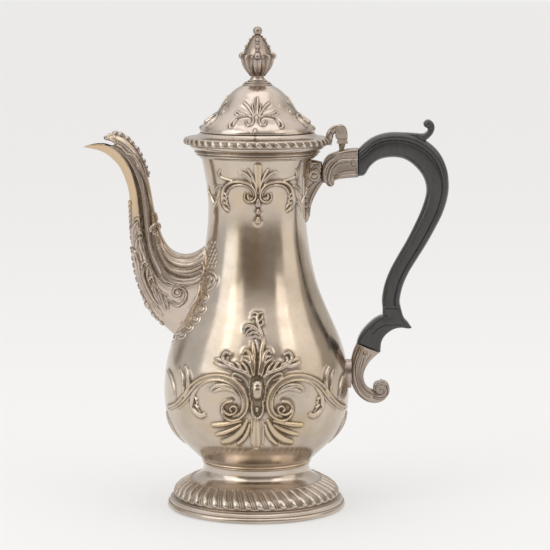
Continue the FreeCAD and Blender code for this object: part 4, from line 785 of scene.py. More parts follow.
LOWER_WORK = [
        ("round", [(61.44, 93.66, 0.45, 0.6), (59.68, 88.7, 0.47, 0.64), (58.31, 84.39, 0.49, 0.69), (58, 80.13, 0.5, 0.7),
        (58.74, 75.11, 0.5, 0.7), (60.35, 70.61, 0.49, 0.67), (62.71, 67.19, 0.44, 0.59), (65.83, 64.94, 0.4, 0.5)]),
        ("flute", [(62.39, 91.96, 0.5, 0.4), (60.69, 86.64, 0.56, 0.49), (59.68, 81.32, 0.63, 0.57), (60.08, 75.7, 0.65, 0.6),
        (61.63, 71.56, 0.65, 0.6), (63.87, 68.61, 0.61, 0.57), (66.98, 66.61, 0.51, 0.49), (70.2, 66.26, 0.4, 0.4)]),
        ("round", [(64.14, 91.37, 0.4, 0.5), (62.27, 85.76, 0.4, 0.5), (61.14, 80.73, 0.4, 0.5), (61.48, 75.41, 0.4, 0.5),
        (63.14, 71.57, 0.4, 0.5), (65.62, 69.09, 0.4, 0.5), (68.31, 68.33, 0.4, 0.5)]),
        ("flute", [(66.49, 89.91, 0.45, 0.45), (63.9, 85.47, 0.45, 0.45), (62.48, 80.74, 0.45, 0.45), (62.76, 76.01, 0.45,
        0.45), (64.3, 72.46, 0.45, 0.45), (66.65, 70.64, 0.45, 0.45)]),
        ("round", [(68.76, 65.04, 0.5, 0.75), (70.12, 64.28, 0.5, 0.75), (71.57, 63.9, 0.49, 0.74), (73.02, 63.94, 0.49,
        0.74), (74.35, 64.37, 0.49, 0.74), (75.49, 65.13, 0.48, 0.74), (76.34, 66.15, 0.48, 0.73), (76.87, 67.33, 0.48, 0.73),
        (77.04, 68.58, 0.47, 0.73), (76.87, 69.8, 0.47, 0.73), (76.39, 70.89, 0.47, 0.72), (75.66, 71.78, 0.46, 0.72), (74.74,
        72.4, 0.46, 0.72), (73.71, 72.73, 0.45, 0.72), (72.68, 72.76, 0.45, 0.71), (71.71, 72.5, 0.45, 0.71), (70.88, 72,
        0.44, 0.71), (70.25, 71.3, 0.44, 0.71), (69.85, 70.48, 0.44, 0.7), (69.69, 69.61, 0.43, 0.7), (69.78, 68.76, 0.43,
        0.7), (70.09, 68, 0.43, 0.7), (70.58, 67.39, 0.42, 0.69), (71.19, 66.95, 0.42, 0.69), (71.87, 66.72, 0.42, 0.69),
        (72.56, 66.69, 0.41, 0.68), (73.19, 66.85, 0.41, 0.68), (73.73, 67.17, 0.41, 0.68), (74.13, 67.61, 0.4, 0.68), (74.38,
        68.12, 0.4, 0.67), (74.47, 68.65, 0.4, 0.67), (74.4, 69.16, 0.39, 0.67), (74.21, 69.6, 0.39, 0.67), (73.92, 69.95,
        0.38, 0.66), (73.57, 70.18, 0.38, 0.66), (73.19, 70.29, 0.38, 0.66), (72.83, 70.28, 0.37, 0.66), (72.52, 70.17, 0.37,
        0.65), (72.27, 69.98, 0.37, 0.65), (72.11, 69.75, 0.36, 0.65), (72.04, 69.51, 0.36, 0.65), (72.05, 69.28, 0.36, 0.64),
        (72.12, 69.09, 0.35, 0.64), (72.24, 68.96, 0.35, 0.64)]),
        ("round", [(63.08, 91.24, 0.95, 0.75), (63.38, 90.24, 0.95, 0.75)]),
        ("flute", [(56.28, 91.64, 0.4, 0.35), (55.33, 85.73, 0.4, 0.35), (55.26, 79.83, 0.4, 0.35), (56.48, 73.32, 0.4, 0.35),
        (58.97, 68.59, 0.4, 0.35)]),
]
BLOCK_WORK = [
        ("round", [(66.62, 104.74, 0.4, 0.35), (68.92, 107.1, 0.48, 0.47), (72.1, 109, 0.55, 0.6), (75.58, 109.95, 0.48,
        0.45), (79.65, 110.08, 0.4, 0.3)]),
        ("flute", [(67.22, 102.98, 0.5, 0.35), (70.1, 105.93, 0.58, 0.43), (73.86, 107.88, 0.66, 0.51), (77.92, 108.55, 0.64,
        0.5), (82.58, 108.15, 0.52, 0.4), (86.66, 107.17, 0.4, 0.3)]),
        ("round", [(73.98, 113.41, 0.38, 0.5), (76.73, 111.6, 0.38, 0.5), (79.65, 109.84, 0.38, 0.5)]),
        ("flute", [(74.85, 114.06, 0.4, 0.45), (77.59, 112.42, 0.4, 0.45), (80.22, 111.08, 0.4, 0.45)]),
        ("flute", [(66.82, 101.8, 0.5, 0.3), (66.57, 97.09, 0.8, 0.3), (67.13, 92.38, 0.6, 0.3)]),
]
SCROLL_WORK = [
        ("flute", [(99.63, 220.71, 0.34, 0.5), (100.1, 221.25, 0.34, 0.5), (100.4, 221.86, 0.33, 0.49), (100.5, 222.51, 0.33,
        0.49), (100.41, 223.13, 0.33, 0.49), (100.15, 223.68, 0.32, 0.49), (99.75, 224.11, 0.32, 0.48), (99.26, 224.39, 0.32,
        0.48), (98.74, 224.51, 0.31, 0.48), (98.22, 224.47, 0.31, 0.48), (97.77, 224.28, 0.3, 0.47), (97.4, 223.98, 0.3,
        0.47), (97.16, 223.6, 0.3, 0.47), (97.04, 223.18, 0.29, 0.47), (97.06, 222.77, 0.29, 0.46), (97.2, 222.4, 0.29, 0.46),
        (97.43, 222.1, 0.28, 0.46), (97.72, 221.89, 0.28, 0.46), (98.05, 221.79, 0.28, 0.45), (98.36, 221.79, 0.27, 0.45),
        (98.65, 221.89, 0.27, 0.45), (98.87, 222.05, 0.27, 0.45), (99.03, 222.27, 0.26, 0.44), (99.1, 222.5, 0.26, 0.44),
        (99.09, 222.73, 0.26, 0.44), (99.02, 222.93, 0.25, 0.44), (98.9, 223.08, 0.25, 0.43), (98.76, 223.18, 0.25, 0.43),
        (98.6, 223.22, 0.24, 0.43), (98.46, 223.2, 0.24, 0.42)]),
        ("flute", [(100.27, 220.22, 0.36, 0.5), (100.63, 218.49, 0.36, 0.5), (99.85, 216.7, 0.36, 0.5), (98.03, 215.09, 0.36,
        0.5)]),
        ("round", [(88.44, 217.01, 0.4, 0.3), (92.48, 216.68, 0.47, 0.3), (96.21, 217.5, 0.47, 0.3), (98.78, 219.64, 0.4,
        0.3)]),
]
# Beside the spout and the bracket, on the body: (degrees round from the front, height, half width, rise).
ROOT_WORK = [
        ("round", [(-64.8, 138.4, 0.5, 0.6), (-58.9, 140, 0.56, 0.69), (-51.7, 140.1, 0.61, 0.77), (-45.6, 138.8, 0.67, 0.86),
        (-42.5, 136.6, 0.67, 0.86), (-43.2, 134, 0.61, 0.77), (-46.4, 131.6, 0.56, 0.69), (-51.6, 129.8, 0.5, 0.6)]),
        ("dish", [(-56.2, 134.9, 3, 0.55), (-49.8, 135.3, 3, 0.55)]),
        ("round", [(-57.6, 136.8, 0.45, 0.8), (-53.6, 138, 0.45, 0.8), (-49.9, 136.3, 0.45, 0.8), (-49.9, 133.7, 0.45, 0.8),
        (-52.8, 131.7, 0.45, 0.8)]),
        ("round", [(-58.3, 128.8, 0.4, 0.25), (-51.2, 128.2, 0.51, 0.38), (-48.1, 125.9, 0.55, 0.42), (-50.4, 123.5, 0.51,
        0.38), (-55.3, 122.6, 0.4, 0.25)]),
        ("round", [(-54.8, 122, 0.4, 0.25), (-48.8, 121.4, 0.51, 0.38), (-46.9, 119, 0.55, 0.42), (-50.2, 117, 0.51, 0.38),
        (-55.4, 116.6, 0.4, 0.25)]),
        ("round", [(-56.6, 116, 0.4, 0.25), (-51.2, 115.1, 0.51, 0.38), (-50.5, 112.6, 0.55, 0.42), (-54.2, 111.1, 0.51,
        0.38), (-59.3, 111.2, 0.4, 0.25)]),
        ("round", [(-61.2, 110.9, 0.4, 0.25), (-55.6, 109.7, 0.51, 0.36), (-55.7, 107.4, 0.55, 0.4), (-60, 106.1, 0.51, 0.36),
        (-65.4, 106.3, 0.4, 0.25)]),
        ("round", [(-67.8, 106.1, 0.45, 0.3), (-61.6, 104.7, 0.6, 0.41), (-62.4, 102.5, 0.65, 0.45), (-68.2, 101.5, 0.6,
        0.41), (-75.1, 102, 0.45, 0.3)]),
        ("round", [(-85.4, 101.2, 0.45, 0.3), (-73.6, 100.6, 0.55, 0.37), (-76.1, 98.1, 0.55, 0.37), (-90, 96.1, 0.45, 0.3)]),
        ("leaf", [(-58.7, 126.3, 1.3, 0.55), (-51.6, 125.6, 1.3, 0.55)]),
        ("leaf", [(-56.2, 119.9, 1.3, 0.55), (-51.1, 119.7, 1.3, 0.55)]),
        ("leaf", [(-58.3, 114.1, 1.3, 0.55), (-54.1, 113.7, 1.3, 0.55)]),
        ("leaf", [(-62.8, 109.2, 1.3, 0.55), (-58.6, 108.6, 1.3, 0.55)]),
        ("leaf", [(-71, 104.7, 1.3, 0.55), (-65.6, 103.9, 1.3, 0.55)]),
        ("round", [(-90, 102.7, 0.5, 0.6), (-90, 102.5, 0.5, 0.6), (-75.6, 105.5, 0.5, 0.6), (-67.8, 109, 0.5, 0.6)]),
        ("round", [(-90, 100.8, 0.45, 0.5), (-79, 102.6, 0.45, 0.5), (-67.8, 105.5, 0.45, 0.5)]),
        ("round", [(-73.1, 155.2, 0.55, 0.4), (-69.1, 156.5, 0.55, 0.4)]),
        ("round", [(-63.4, 155.7, 0.55, 0.4), (-60.5, 156.9, 0.55, 0.4)]),
        ("round", [(-56.3, 156.1, 0.55, 0.4), (-54, 157.2, 0.55, 0.4)]),
        ("round", [(-65.8, 153.3, 0.55, 0.4), (-62.8, 154.5, 0.55, 0.4)]),
        ("round", [(-58.6, 153.7, 0.55, 0.4), (-56.2, 154.8, 0.55, 0.4)]),
        ("round", [(-69.8, 150.8, 0.55, 0.4), (-66.4, 152, 0.55, 0.4)]),
        ("round", [(-60.9, 151.3, 0.55, 0.4), (-58.4, 152.4, 0.55, 0.4)]),
        ("round", [(-54.1, 151.6, 0.55, 0.4), (-52, 152.8, 0.55, 0.4)]),
        ("round", [(-62.9, 148.9, 0.55, 0.4), (-60.5, 150, 0.55, 0.4)]),
        ("round", [(-56.1, 149.2, 0.55, 0.4), (-54, 150.4, 0.55, 0.4)]),
        ("round", [(-51.2, 149.5, 0.55, 0.4), (-49.2, 150.6, 0.55, 0.4)]),
        ("round", [(-65.2, 146.4, 0.55, 0.4), (-62.5, 147.6, 0.55, 0.4)]),
        ("round", [(-58.4, 146.8, 0.55, 0.4), (-56.2, 148, 0.55, 0.4)]),
        ("round", [(-52.3, 147.2, 0.55, 0.4), (-50.4, 148.3, 0.55, 0.4)]),
        ("round", [(-60, 144.4, 0.55, 0.4), (-57.7, 145.6, 0.55, 0.4)]),
        ("round", [(-54.5, 144.8, 0.55, 0.4), (-52.5, 145.9, 0.55, 0.4)]),
        ("round", [(-49.1, 145, 0.55, 0.4), (-47.3, 146.2, 0.55, 0.4)]),
        ("round", [(-61.8, 142, 0.55, 0.4), (-59.6, 143.2, 0.55, 0.4)]),
        ("round", [(-55.1, 142.4, 0.55, 0.4), (-53.2, 143.6, 0.55, 0.4)]),
        ("round", [(-50, 142.7, 0.55, 0.4), (-48.3, 143.8, 0.55, 0.4)]),
        ("leaf", [(62.7, 194, 0.6, 0.4), (64.8, 189.2, 0.8, 0.55), (67.3, 183.9, 1, 0.7), (71.9, 176.2, 0.8, 0.55), (73.5,
        170.9, 0.6, 0.4)]),
]
ROOT_WIRE = [(-90.0, 154.7), (-90.0, 150.6), (-88.4, 146.0), (-74.9, 144.0), (-67.5, 141.6), (-66.6, 139.4), (-70.9, 136.8), (-72.3, 134.4), (-69.1, 131.7), (-65.3, 128.6), (-65.4, 125.2), (-69.2, 121.4), (-73.4, 118.5), (-83.2, 115.2), (-80.8, 112.2), (-90.0, 108.3), (-90.0, 105.6), (-90.0, 103.8)]


# ------------------------------------------------------------------ body
BODY = [(30.66, 27.0), (33.79, 30.0), (36.91, 33.0), (40.06, 36.0), (43.10, 39.0), (45.81, 42.0), (48.05, 45.0), (49.84, 48.0),
        (51.23, 51.0), (52.26, 54.0), (53.00, 57.0), (53.50, 60.0), (53.94, 66.0), (53.89, 72.0), (53.50, 78.0), (52.75, 84.0),
        (51.51, 90.0), (49.73, 96.0), (47.46, 102.0), (44.84, 108.0), (42.08, 114.0), (39.39, 120.0), (36.96, 126.0),
        (34.92, 132.0), (33.27, 138.0), (31.90, 144.0), (30.74, 150.0), (29.76, 156.0), (29.00, 162.0), (28.50, 168.0),
        (28.31, 174.0), (28.47, 180.0), (28.97, 186.0), (29.81, 192.0), (30.94, 198.0), (32.10, 203.2)]
DOME = [(9.0, 246.2), (12.6, 244.0), (15.4, 241.6), (17.6, 238.8), (19.2, 236.2), (20.6, 233.6), (22.4, 231.0), (24.8, 228.7),
        (27.6, 226.7), (30.2, 224.7), (32.0, 222.7), (32.8, 221.1), (33.0, 219.8)]


def inset(prof, d):
    """The profile, moved d inwards."""
    n = row_normals(prof, closed=False)
    if (n[:, 0]).mean() < 0:
        n = -n
    return prof - n * d


# How much fatter and taller than drawn some strokes stand.
BOLDER = {"side1": (1.45, 1.4), "side2": (1.4, 1.35), "side3": (1.45, 1.4), "side4": (1.3, 1.3), "p1": (1.15, 1.3), "p2": (1.15, 1.3), "p3": (1.55, 1.45), "p4": (1.25, 1.3), "l1": (1.25, 1.35), "m1": (1.25, 1.35), "c1": (1.35, 1.3),
          "c2": (1.35, 1.3), "s1": (1.2, 1.35), "s2": (1.2, 1.35), "rim": (1.15, 1.3), "rim_out": (1.15, 1.3), "dr": (1.25, 1.3), "cou": (1.0, 1.0)}


# Strokes with a golden film, and how much of it.
GILT = {"p1": 0.85, "p2": 0.75, "p3": 0.6, "p4": 0.5, "ri": 0.5, "c1": 0.35, "c2": 0.35, "pe": 0.6, "pc": 0.45, "co": 0.3, "vo": 0.3}


def put_motif(rel, pairs, singles, turn=0.0, kinds=None, scale=1.0, wide=1.0, lift=0.0):
    """One motif round the middle at turn degrees: every pair on both sides, every single once."""
    kinds = kinds or {}
    for name, pts in list(pairs.items()) + list(singles.items()):
        pts = [(p[0], p[1] + lift) + tuple(p[2:]) for p in pts]
        kind = kinds.get(name, "round")
        fat, tall = BOLDER.get(name[:2] if name[:2] in BOLDER else name, (1.0, 1.0))
        pts = [tuple(p[:2]) + (p[2] * fat, p[3] * tall) for p in pts]
        sets = [pts, mirrored(pts)] if name in pairs else [pts]
        for s in sets:
            rel.stroke(turned(s, turn), kind=kind, scale=scale, wide=wide)
            if name[:2] in GILT:
                rel.stroke(turned([(p[0], p[1], p[2] * 1.5 + 0.3, GILT[name[:2]]) for p in s], turn), kind="gild")


BELLY_KINDS = {"band": "flat", "pc": "dish", "droop": "leaf",
               "leafin": "leaf", "leafin2": "leaf", "side1": "leaf",
               "side2": "leaf", "side3": "leaf", "side4": "leaf", }
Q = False
COLS = 560 if Q else 900
outer = spline(BODY, step=0.62 if Q else 0.4)
relief = Relief(outer, COLS)
relief.stroke([(0.0, 85.0, 2.0, 0.3), (0.0, 78.0, 3.4, 0.35), (0.0, 68.0, 3.6, 0.35), (0.0, 58.0, 2.6, 0.3)], kind="flat", swell=0.1, outline=0.0)
put_motif(relief, BELLY_PAIRS, BELLY_SINGLE, 0.9, BELLY_KINDS)
put_motif(relief, BELLY_PAIRS, BELLY_SINGLE, 180.0, BELLY_KINDS)
NECK_KINDS = {"side": "dish", "pet": "dish"}
put_motif(relief, NECK_PAIRS, NECK_SINGLE, 1.4, NECK_KINDS, scale=1.3, wide=1.25)
put_motif(relief, NECK_PAIRS, NECK_SINGLE, 180.0, NECK_KINDS, scale=1.3, wide=1.25)

for kind, pts in ROOT_WORK:
    relief.stroke(pts, kind=kind)
    relief.stroke([(180.0 - p[0],) + tuple(p[1:]) for p in pts], kind=kind)

# Painted shade: dark patches round the boss and down the middle of the front, in the eyes of the scrolls and at the
# roots of the leaves; the first table is for the belly, the second for the neck.
BELLY_SHADE_PATCHES = [[(0.0, 100.0, 1.6, 0.25), (0.0, 92.0, 3.6, 0.7), (0.0, 86.0, 5.0, 0.85), (0.0, 77.0, 4.4, 0.8), (0.0, 67.0, 3.4, 0.9), (0.0, 61.0, 2.6, 0.4)],
          [(-15.5, 66.5, 3.4, 0.55), (-13.0, 67.0, 3.4, 0.55)], [(15.5, 66.5, 3.4, 0.55), (13.0, 67.0, 3.4, 0.55)],
          [(-9.0, 56.0, 3.5, 0.35), (-18.0, 53.0, 3.0, 0.3)], [(9.0, 56.0, 3.5, 0.45), (18.0, 53.0, 3.0, 0.4)],
          [(-12.0, 84.0, 3.2, 0.35), (-8.0, 83.0, 3.2, 0.5)], [(12.0, 84.0, 3.2, 0.35), (8.0, 83.0, 3.2, 0.5)]]
NECK_SHADE_PATCHES = [[(0.0, 187.0, 2.2, 0.4), (0.0, 178.0, 2.2, 0.45), (0.0, 170.0, 1.8, 0.3)], [(-9.0, 184.6, 2.2, 0.5), (-8.0, 184.2, 2.2, 0.5)],
               [(9.0, 184.6, 2.2, 0.5), (8.0, 184.2, 2.2, 0.5)]]
# Patches of golden film on the plain metal.
FILM = [[(-40.0, 60.0, 7.0, 0.26), (-25.0, 51.0, 6.5, 0.42), (-13.0, 44.0, 5.0, 0.3)], [(22.0, 50.0, 6.5, 0.32), (38.0, 60.0, 6.5, 0.26)],
        [(-30.0, 70.0, 4.5, 0.3), (-24.0, 73.0, 4.0, 0.3)], [(-23.0, 184.0, 4.5, 0.5), (-19.0, 176.0, 4.0, 0.35)], [(24.0, 183.0, 4.5, 0.4), (28.0, 178.0, 4.0, 0.2)],
        [(-2.0, 172.0, 3.5, 0.25), (-1.0, 150.0, 4.0, 0.3), (0.0, 136.0, 3.5, 0.3)]]
for turn in (0.9, 180.0):
    for pts in FILM:
        relief.stroke(turned(pts, turn), kind="gild")
    for pts in BELLY_SHADE_PATCHES:
        relief.stroke(turned(pts, turn), kind="painted_shade")
    for pts in NECK_SHADE_PATCHES:
        relief.stroke(turned(pts, turn), kind="painted_shade")

height = relief.table()
soft = blur(np.clip(height, 0, None), 3, 3)
near_relief = np.clip(blur((height > 0.12).astype(float), 2, 2) * 1.3, 0, 1)
# Painted shade: darker in the low places beside the relief, in the outline grooves, and in the painted shade patches.
body_cav = np.clip((soft - height) / 0.46, 0, 1) * near_relief
body_cav = np.clip(body_cav + 2.3 * relief.cut * (height < 0.35), 0, 1)
body_cav = np.clip(body_cav + relief.painted_shade * np.clip(1.15 - height / 0.9, 0.1, 1), 0, 1)
# the ridge table lightens the metal near the relief as a painted highlight, together with the tarnish film
body_ridge = near_relief

bottom = spline([(0.0, 25.2), (8.0, 25.25), (16.0, 25.45), (23.0, 25.7), (27.6, 26.0)], step=2.0)
rim_line = profile([(32.3, 204.4), (32.35, 205.2), (32.35, 212.0)], [(32.35, 212.0), (31.35, 212.0)], [(31.35, 212.0), (31.35, 205.2)], step=1.2)
inner = inset(spline(BODY, step=2.4), 1.0)[::-1]
inner = inner[(inner[:, 1] > 29.0)]
inner_bottom = spline([(29.6, 27.6), (26.4, 26.9), (20.0, 26.7), (10.0, 26.45), (0.0, 26.4)], step=2.0)
loop = np.vstack([bottom, outer, rim_line, inner, inner_bottom])
first = len(bottom)


def body_disp(th, prof):
    d = np.zeros((len(prof), len(th)))
    d[first:first + len(outer)] = height
    return d


def body_table(table):
    def f(th, prof, d):
        a = np.zeros((len(prof), len(th)))
        a[first:first + len(outer)] = table
        # the inside of the pot takes 0.25 in each table; in the cav table that is painted shade
        inside = np.arange(len(prof)) >= first + len(outer) + len(rim_line) - 2
        a[inside] = 0.25
        return a
    return f


revolve("body_chased", loop, COLS, "pot", SILVER_BODY, ["body_shell"], body_disp, cav=body_table(body_cav), ridge=body_table(body_ridge),
        gold=body_table(np.clip(relief.gild, 0, 1)))

# ------------------------------------------------------------------ mouth moulding
mouth = profile([(32.2, 204.9), (32.2, 211.9)], [(32.2, 211.9), (39.2, 212.0)],
                [(39.2, 212.0), (39.3, 211.6), (38.9, 211.0), (38.2, 210.3), (37.2, 209.7), (36.5, 209.3)],
                [(36.5, 209.3), (36.05, 209.1), (36.05, 208.5), (36.5, 208.3)],
                [(36.5, 208.3), (36.6, 207.9), (36.0, 207.6), (35.2, 207.4), (34.9, 207.0)],
                [(34.9, 207.0), (35.25, 206.7), (35.2, 206.2), (34.5, 205.95)],
                [(34.5, 205.95), (33.9, 205.6), (33.5, 205.1), (33.3, 204.9)], [(33.3, 204.9), (32.2, 204.9)], step=0.28)


def groove_shade(*spans):
    """Painted shade in the grooves at these heights: (height, half width, strength)."""
    def f(th, prof, d):
        a = np.zeros(len(prof))
        for z, w, s in spans:
            a = np.maximum(a, s * np.exp(-((prof[:, 1] - z) / w) ** 2))
        return np.repeat(a[:, None], len(th), 1)
    return f


revolve("mouth_moulding", mouth, 300, "pot", SILVER_MOULD, ["mouth_rim_moulding"],
        cav=groove_shade((209.0, 0.35, 0.9), (207.3, 0.3, 0.7), (205.8, 0.25, 0.5), (204.95, 0.2, 0.9)))

# ------------------------------------------------------------------ foot
foot = profile([(29.8, 26.25), (31.0, 26.25)], [(31.0, 26.25), (30.95, 24.0), (31.25, 22.0), (32.3, 20.0), (34.5, 18.1), (37.9, 16.2)],
               [(37.9, 16.2), (41.2, 13.9), (44.2, 11.6), (46.0, 9.3), (46.7, 7.0)], [(46.7, 7.0), (47.9, 6.35)],
               [(47.9, 6.35), (48.5, 6.1), (48.7, 5.7)], [(48.7, 5.7), (49.3, 5.65), (50.2, 5.4), (50.9, 4.7)], [(50.9, 4.7), (50.9, 3.4)],
               [(50.9, 3.4), (48.2, 3.4)],
               [(48.2, 3.4), (47.4, 4.9), (45.6, 6.0), (44.8, 8.6), (43.2, 10.8), (40.4, 12.9), (37.2, 15.0), (33.8, 16.9),
                (31.2, 19.2), (30.1, 21.7), (29.8, 24.0), (29.8, 26.25)], step=0.6)
revolve("foot_dome", foot, 320, "pot", SILVER_FOOT, ["foot_shell"],
        cav=groove_shade((16.3, 0.25, 0.35), (6.2, 0.35, 0.8), (5.65, 0.15, 0.5), (26.1, 0.25, 0.8)))
collar = profile([(30.2, 26.2), (31.0, 26.25)], [(31.0, 26.25), (31.75, 26.45), (31.95, 26.85), (31.6, 27.25)],
                 [(31.6, 27.25), (32.15, 27.5), (32.4, 28.0), (32.2, 28.5), (31.75, 28.75)], [(31.75, 28.75), (30.2, 28.4)],
                 [(30.2, 28.4), (30.2, 26.2)], step=0.18)
revolve("foot_collar", collar, 300, "pot", SILVER_COLLAR, ["foot_collar_wire"],
        cav=groove_shade((27.3, 0.18, 1.0), (28.75, 0.2, 0.9), (26.25, 0.2, 0.8)))
rim = profile([(48.2, 0.0), (50.9, 0.0)], [(50.9, 0.0), (51.7, 0.35), (52.15, 1.0), (52.2, 1.7), (52.0, 2.5), (51.5, 3.1), (50.9, 3.35)],
              [(50.9, 3.35), (48.2, 3.4)], [(48.2, 3.4), (48.2, 0.0)], step=0.3)
revolve("foot_rim", rim, 360, "pot", SILVER_MOULD, ["foot_rim_wire"], cav=groove_shade((3.4, 0.25, 0.9)))

# Gadrooned border of the foot: slanting lobes, each swelling towards its lower end, with a fine ridge between.
LOBES = 44
band = profile([(37.9, 16.2), (41.2, 13.9), (44.2, 11.6), (46.0, 9.3), (46.7, 7.0)], [(46.7, 7.0), (47.7, 6.35)],
               [(47.7, 6.35), (48.05, 7.0), (48.1, 8.0), (47.6, 9.4), (46.3, 11.4), (43.9, 13.4), (40.9, 15.2), (38.4, 16.5)],
               [(38.4, 16.5), (37.9, 16.2)], step=0.3)
tops = np.where((band[:, 1] >= 6.35) & (np.arange(len(band)) > np.argmin(np.abs(band - [47.7, 6.35]).sum(1))))[0]


def lobe_wave(th, rows, lobes, lean, lo, hi, rise, sink):
    """Rise and hollow of slanting lobes. rows is each row's place across the band, 0 at the outer edge to 1 at the inner."""
    ph = (th[None, :] * lobes / (2 * math.pi) + lean * rows[:, None]) % 1.0
    x = (ph - 0.5) * 2
    lobe = np.clip(1 - (np.abs(x) / 0.80) ** 2, 0, 1) ** 0.55
    swell = np.exp(-((rows - lo) / hi) ** 2)[:, None] * 0.55 + 0.45
    ends = np.clip(rows / 0.10, 0, 1) ** 0.5 * np.clip((1 - rows) / 0.10, 0, 1) ** 0.5
    fine = np.exp(-((np.abs(x) - 1.0) / 0.09) ** 2) * 0.30
    return (rise * lobe * swell - sink * (1 - lobe)) * ends[:, None] + fine * rise * ends[:, None], (1 - lobe) * ends[:, None]


def foot_wave(th, t):
    """Narrow lobes that swell towards the outer edge, with a pair of fine ribs in each gap."""
    ph = (th[None, :] * LOBES / (2 * math.pi) + 0.80 * t[:, None]) % 1.0
    x = np.abs((ph - 0.5) * 2)
    w = (0.34 + 0.26 * np.exp(-((t - 0.26) / 0.24) ** 2))[:, None]
    lobe = np.clip(1 - (x / w) ** 2, 0, 1) ** 0.5
    swell = (0.50 + 0.50 * np.exp(-((t - 0.24) / 0.26) ** 2))[:, None]
    ends = (np.clip((t - 0.07) / 0.10, 0, 1) ** 0.5 * np.clip((0.98 - t) / 0.10, 0, 1) ** 0.5)[:, None]
    ribs = np.exp(-((x - 0.80) / 0.075) ** 2) * 0.42 * ends
    h = (0.92 * lobe * swell * ends - 0.30 * (1 - lobe) * ends) + ribs
    return h, np.clip((1 - lobe) * (1 - 1.6 * ribs) * ends, 0, 1)


def band_disp(th, prof):
    d = np.zeros((len(prof), len(th)))
    t = np.linspace(0, 1, len(tops))
    w, _ = foot_wave(th, t)
    d[tops] = w
    return d


def band_cav(th, prof, d):
    a = np.zeros((len(prof), len(th)))
    t = np.linspace(0, 1, len(tops))
    _, c = foot_wave(th, t)
    # painted shade between the lobes, stronger towards the outer edge
    a[tops] = np.clip(c * 0.9, 0, 1) * np.clip(1.15 - t, 0.25, 1)[:, None]
    return a


revolve("foot_gadroon", band, 1120, "pot", SILVER_BORDER, ["foot_gadroon_border"], band_disp, cav=band_cav,
        ridge=lambda th, p, d: 0.4 + 0 * d)

# ------------------------------------------------------------------ lid
LCOLS = 480 if Q else 720
dome_out = spline(DOME, step=0.5 if Q else 0.32)
lrel = Relief(dome_out[::-1].copy(), LCOLS)
for k in range(4):
    put_motif(lrel, LID_PAIRS, LID_SINGLE, 90.0 * k - 0.9, {"outer": "leaf"}, scale=1.35, wide=1.1)
lid_h = lrel.table()[::-1]
lsoft = blur(np.clip(lid_h, 0, None), 3, 3)
lnear = np.clip(blur((lid_h > 0.1).astype(float), 2, 2) * 1.3, 0, 1)
# Painted shade on the lid: darker in the low places beside the relief and in the outline grooves; lnear, the ridge
# table, lightens the metal near the relief as a painted highlight.
lid_cav = np.clip(np.clip((lsoft - lid_h) / 0.5, 0, 1) * lnear + 3.0 * lrel.cut[::-1] * (lid_h < 0.35), 0, 1)
cove = profile([(33.0, 219.8), (32.95, 219.55), (32.6, 219.35)], [(32.6, 219.35), (33.2, 219.0), (34.0, 218.2), (35.4, 217.4), (37.4, 216.8), (40.4, 216.4)],
               [(40.4, 216.4), (40.4, 215.3)], [(40.4, 215.3), (37.2, 215.7), (34.6, 216.5), (33.0, 217.7), (32.1, 218.6)],
               [(32.1, 218.6), (32.0, 219.8)], step=0.4)[1:]
dome_in = inset(dome_out, 1.0)[::-1][::3]
dome_in = dome_in[(dome_in[:, 1] < 245.0) & (dome_in[:, 0] < 31.9)]
crown = spline([(8.6, 245.2), (1.6, 245.2)], count=4)
crown2 = spline([(1.6, 246.2), (8.8, 246.2)], count=4)
lid_loop = np.vstack([crown2, dome_out, cove, dome_in, crown])
lfirst = len(crown2)


def lid_rows(table):
    def f(th, prof, d=None):
        a = np.zeros((len(prof), len(th)))
        a[lfirst:lfirst + len(dome_out)] = table
        # in the cav table only: painted shade, a dark line round the seam where the dome meets the cove
        if d is not None:
            z = np.exp(-((prof[:, 1] - 219.4) / 0.3) ** 2) * (prof[:, 0] > 32.2)
            a = np.maximum(a, z[:, None] * 0.95)
        return a
    return f


revolve("lid_dome_chased", lid_loop, LCOLS, "lid", SILVER_LID, ["lid_dome"], lambda th, p: lid_rows(lid_h)(th, p), cav=lid_rows(lid_cav), ridge=lambda th, p, d: lid_rows(lnear)(th, p))

# Gadrooned edge of the lid: short slanting lobes round the rim.
LID_LOBES = 48
edge = profile([(40.4, 212.6), (41.4, 212.6)], [(41.4, 212.6), (41.9, 212.9), (42.2, 213.6), (42.15, 214.5), (41.8, 215.4), (41.2, 216.1), (40.4, 216.5)],
               [(40.4, 216.5), (40.4, 212.6)], step=0.22)
etops = np.where(edge[:, 0] > 40.9)[0]


def edge_wave(th, prof):
    """Drop-shaped lobes on the upper part of the edge, leaning one way."""
    t = np.linspace(0, 1, len(etops))
    ph = (th[None, :] * LID_LOBES / (2 * math.pi) + 0.55 * t[:, None]) % 1.0
    x = np.abs((ph - 0.5) * 2)
    w = (0.36 + 0.30 * np.exp(-((t - 0.42) / 0.22) ** 2))[:, None]
    ends = (np.clip((t - 0.20) / 0.12, 0, 1) ** 0.5 * np.clip((0.97 - t) / 0.16, 0, 1) ** 0.5)[:, None]
    lobe = np.clip(1 - (x / w) ** 2, 0, 1) ** 0.5
    return (0.50 * lobe - 0.20 * (1 - lobe)) * ends, (1 - lobe) * ends


def edge_disp(th, prof):
    d = np.zeros((len(prof), len(th)))
    d[etops] = edge_wave(th, prof)[0]
    return d


def edge_cav(th, prof, d):
    a = np.zeros((len(prof), len(th)))
    # painted shade between the lobes
    a[etops] = np.clip(edge_wave(th, prof)[1] * 0.75, 0, 1)
    return a


revolve("lid_gadroon", edge, 960, "lid", SILVER_BORDER, ["lid_gadroon_border"], edge_disp, cav=edge_cav, ridge=lambda th, p, d: 0.3 + 0 * d)


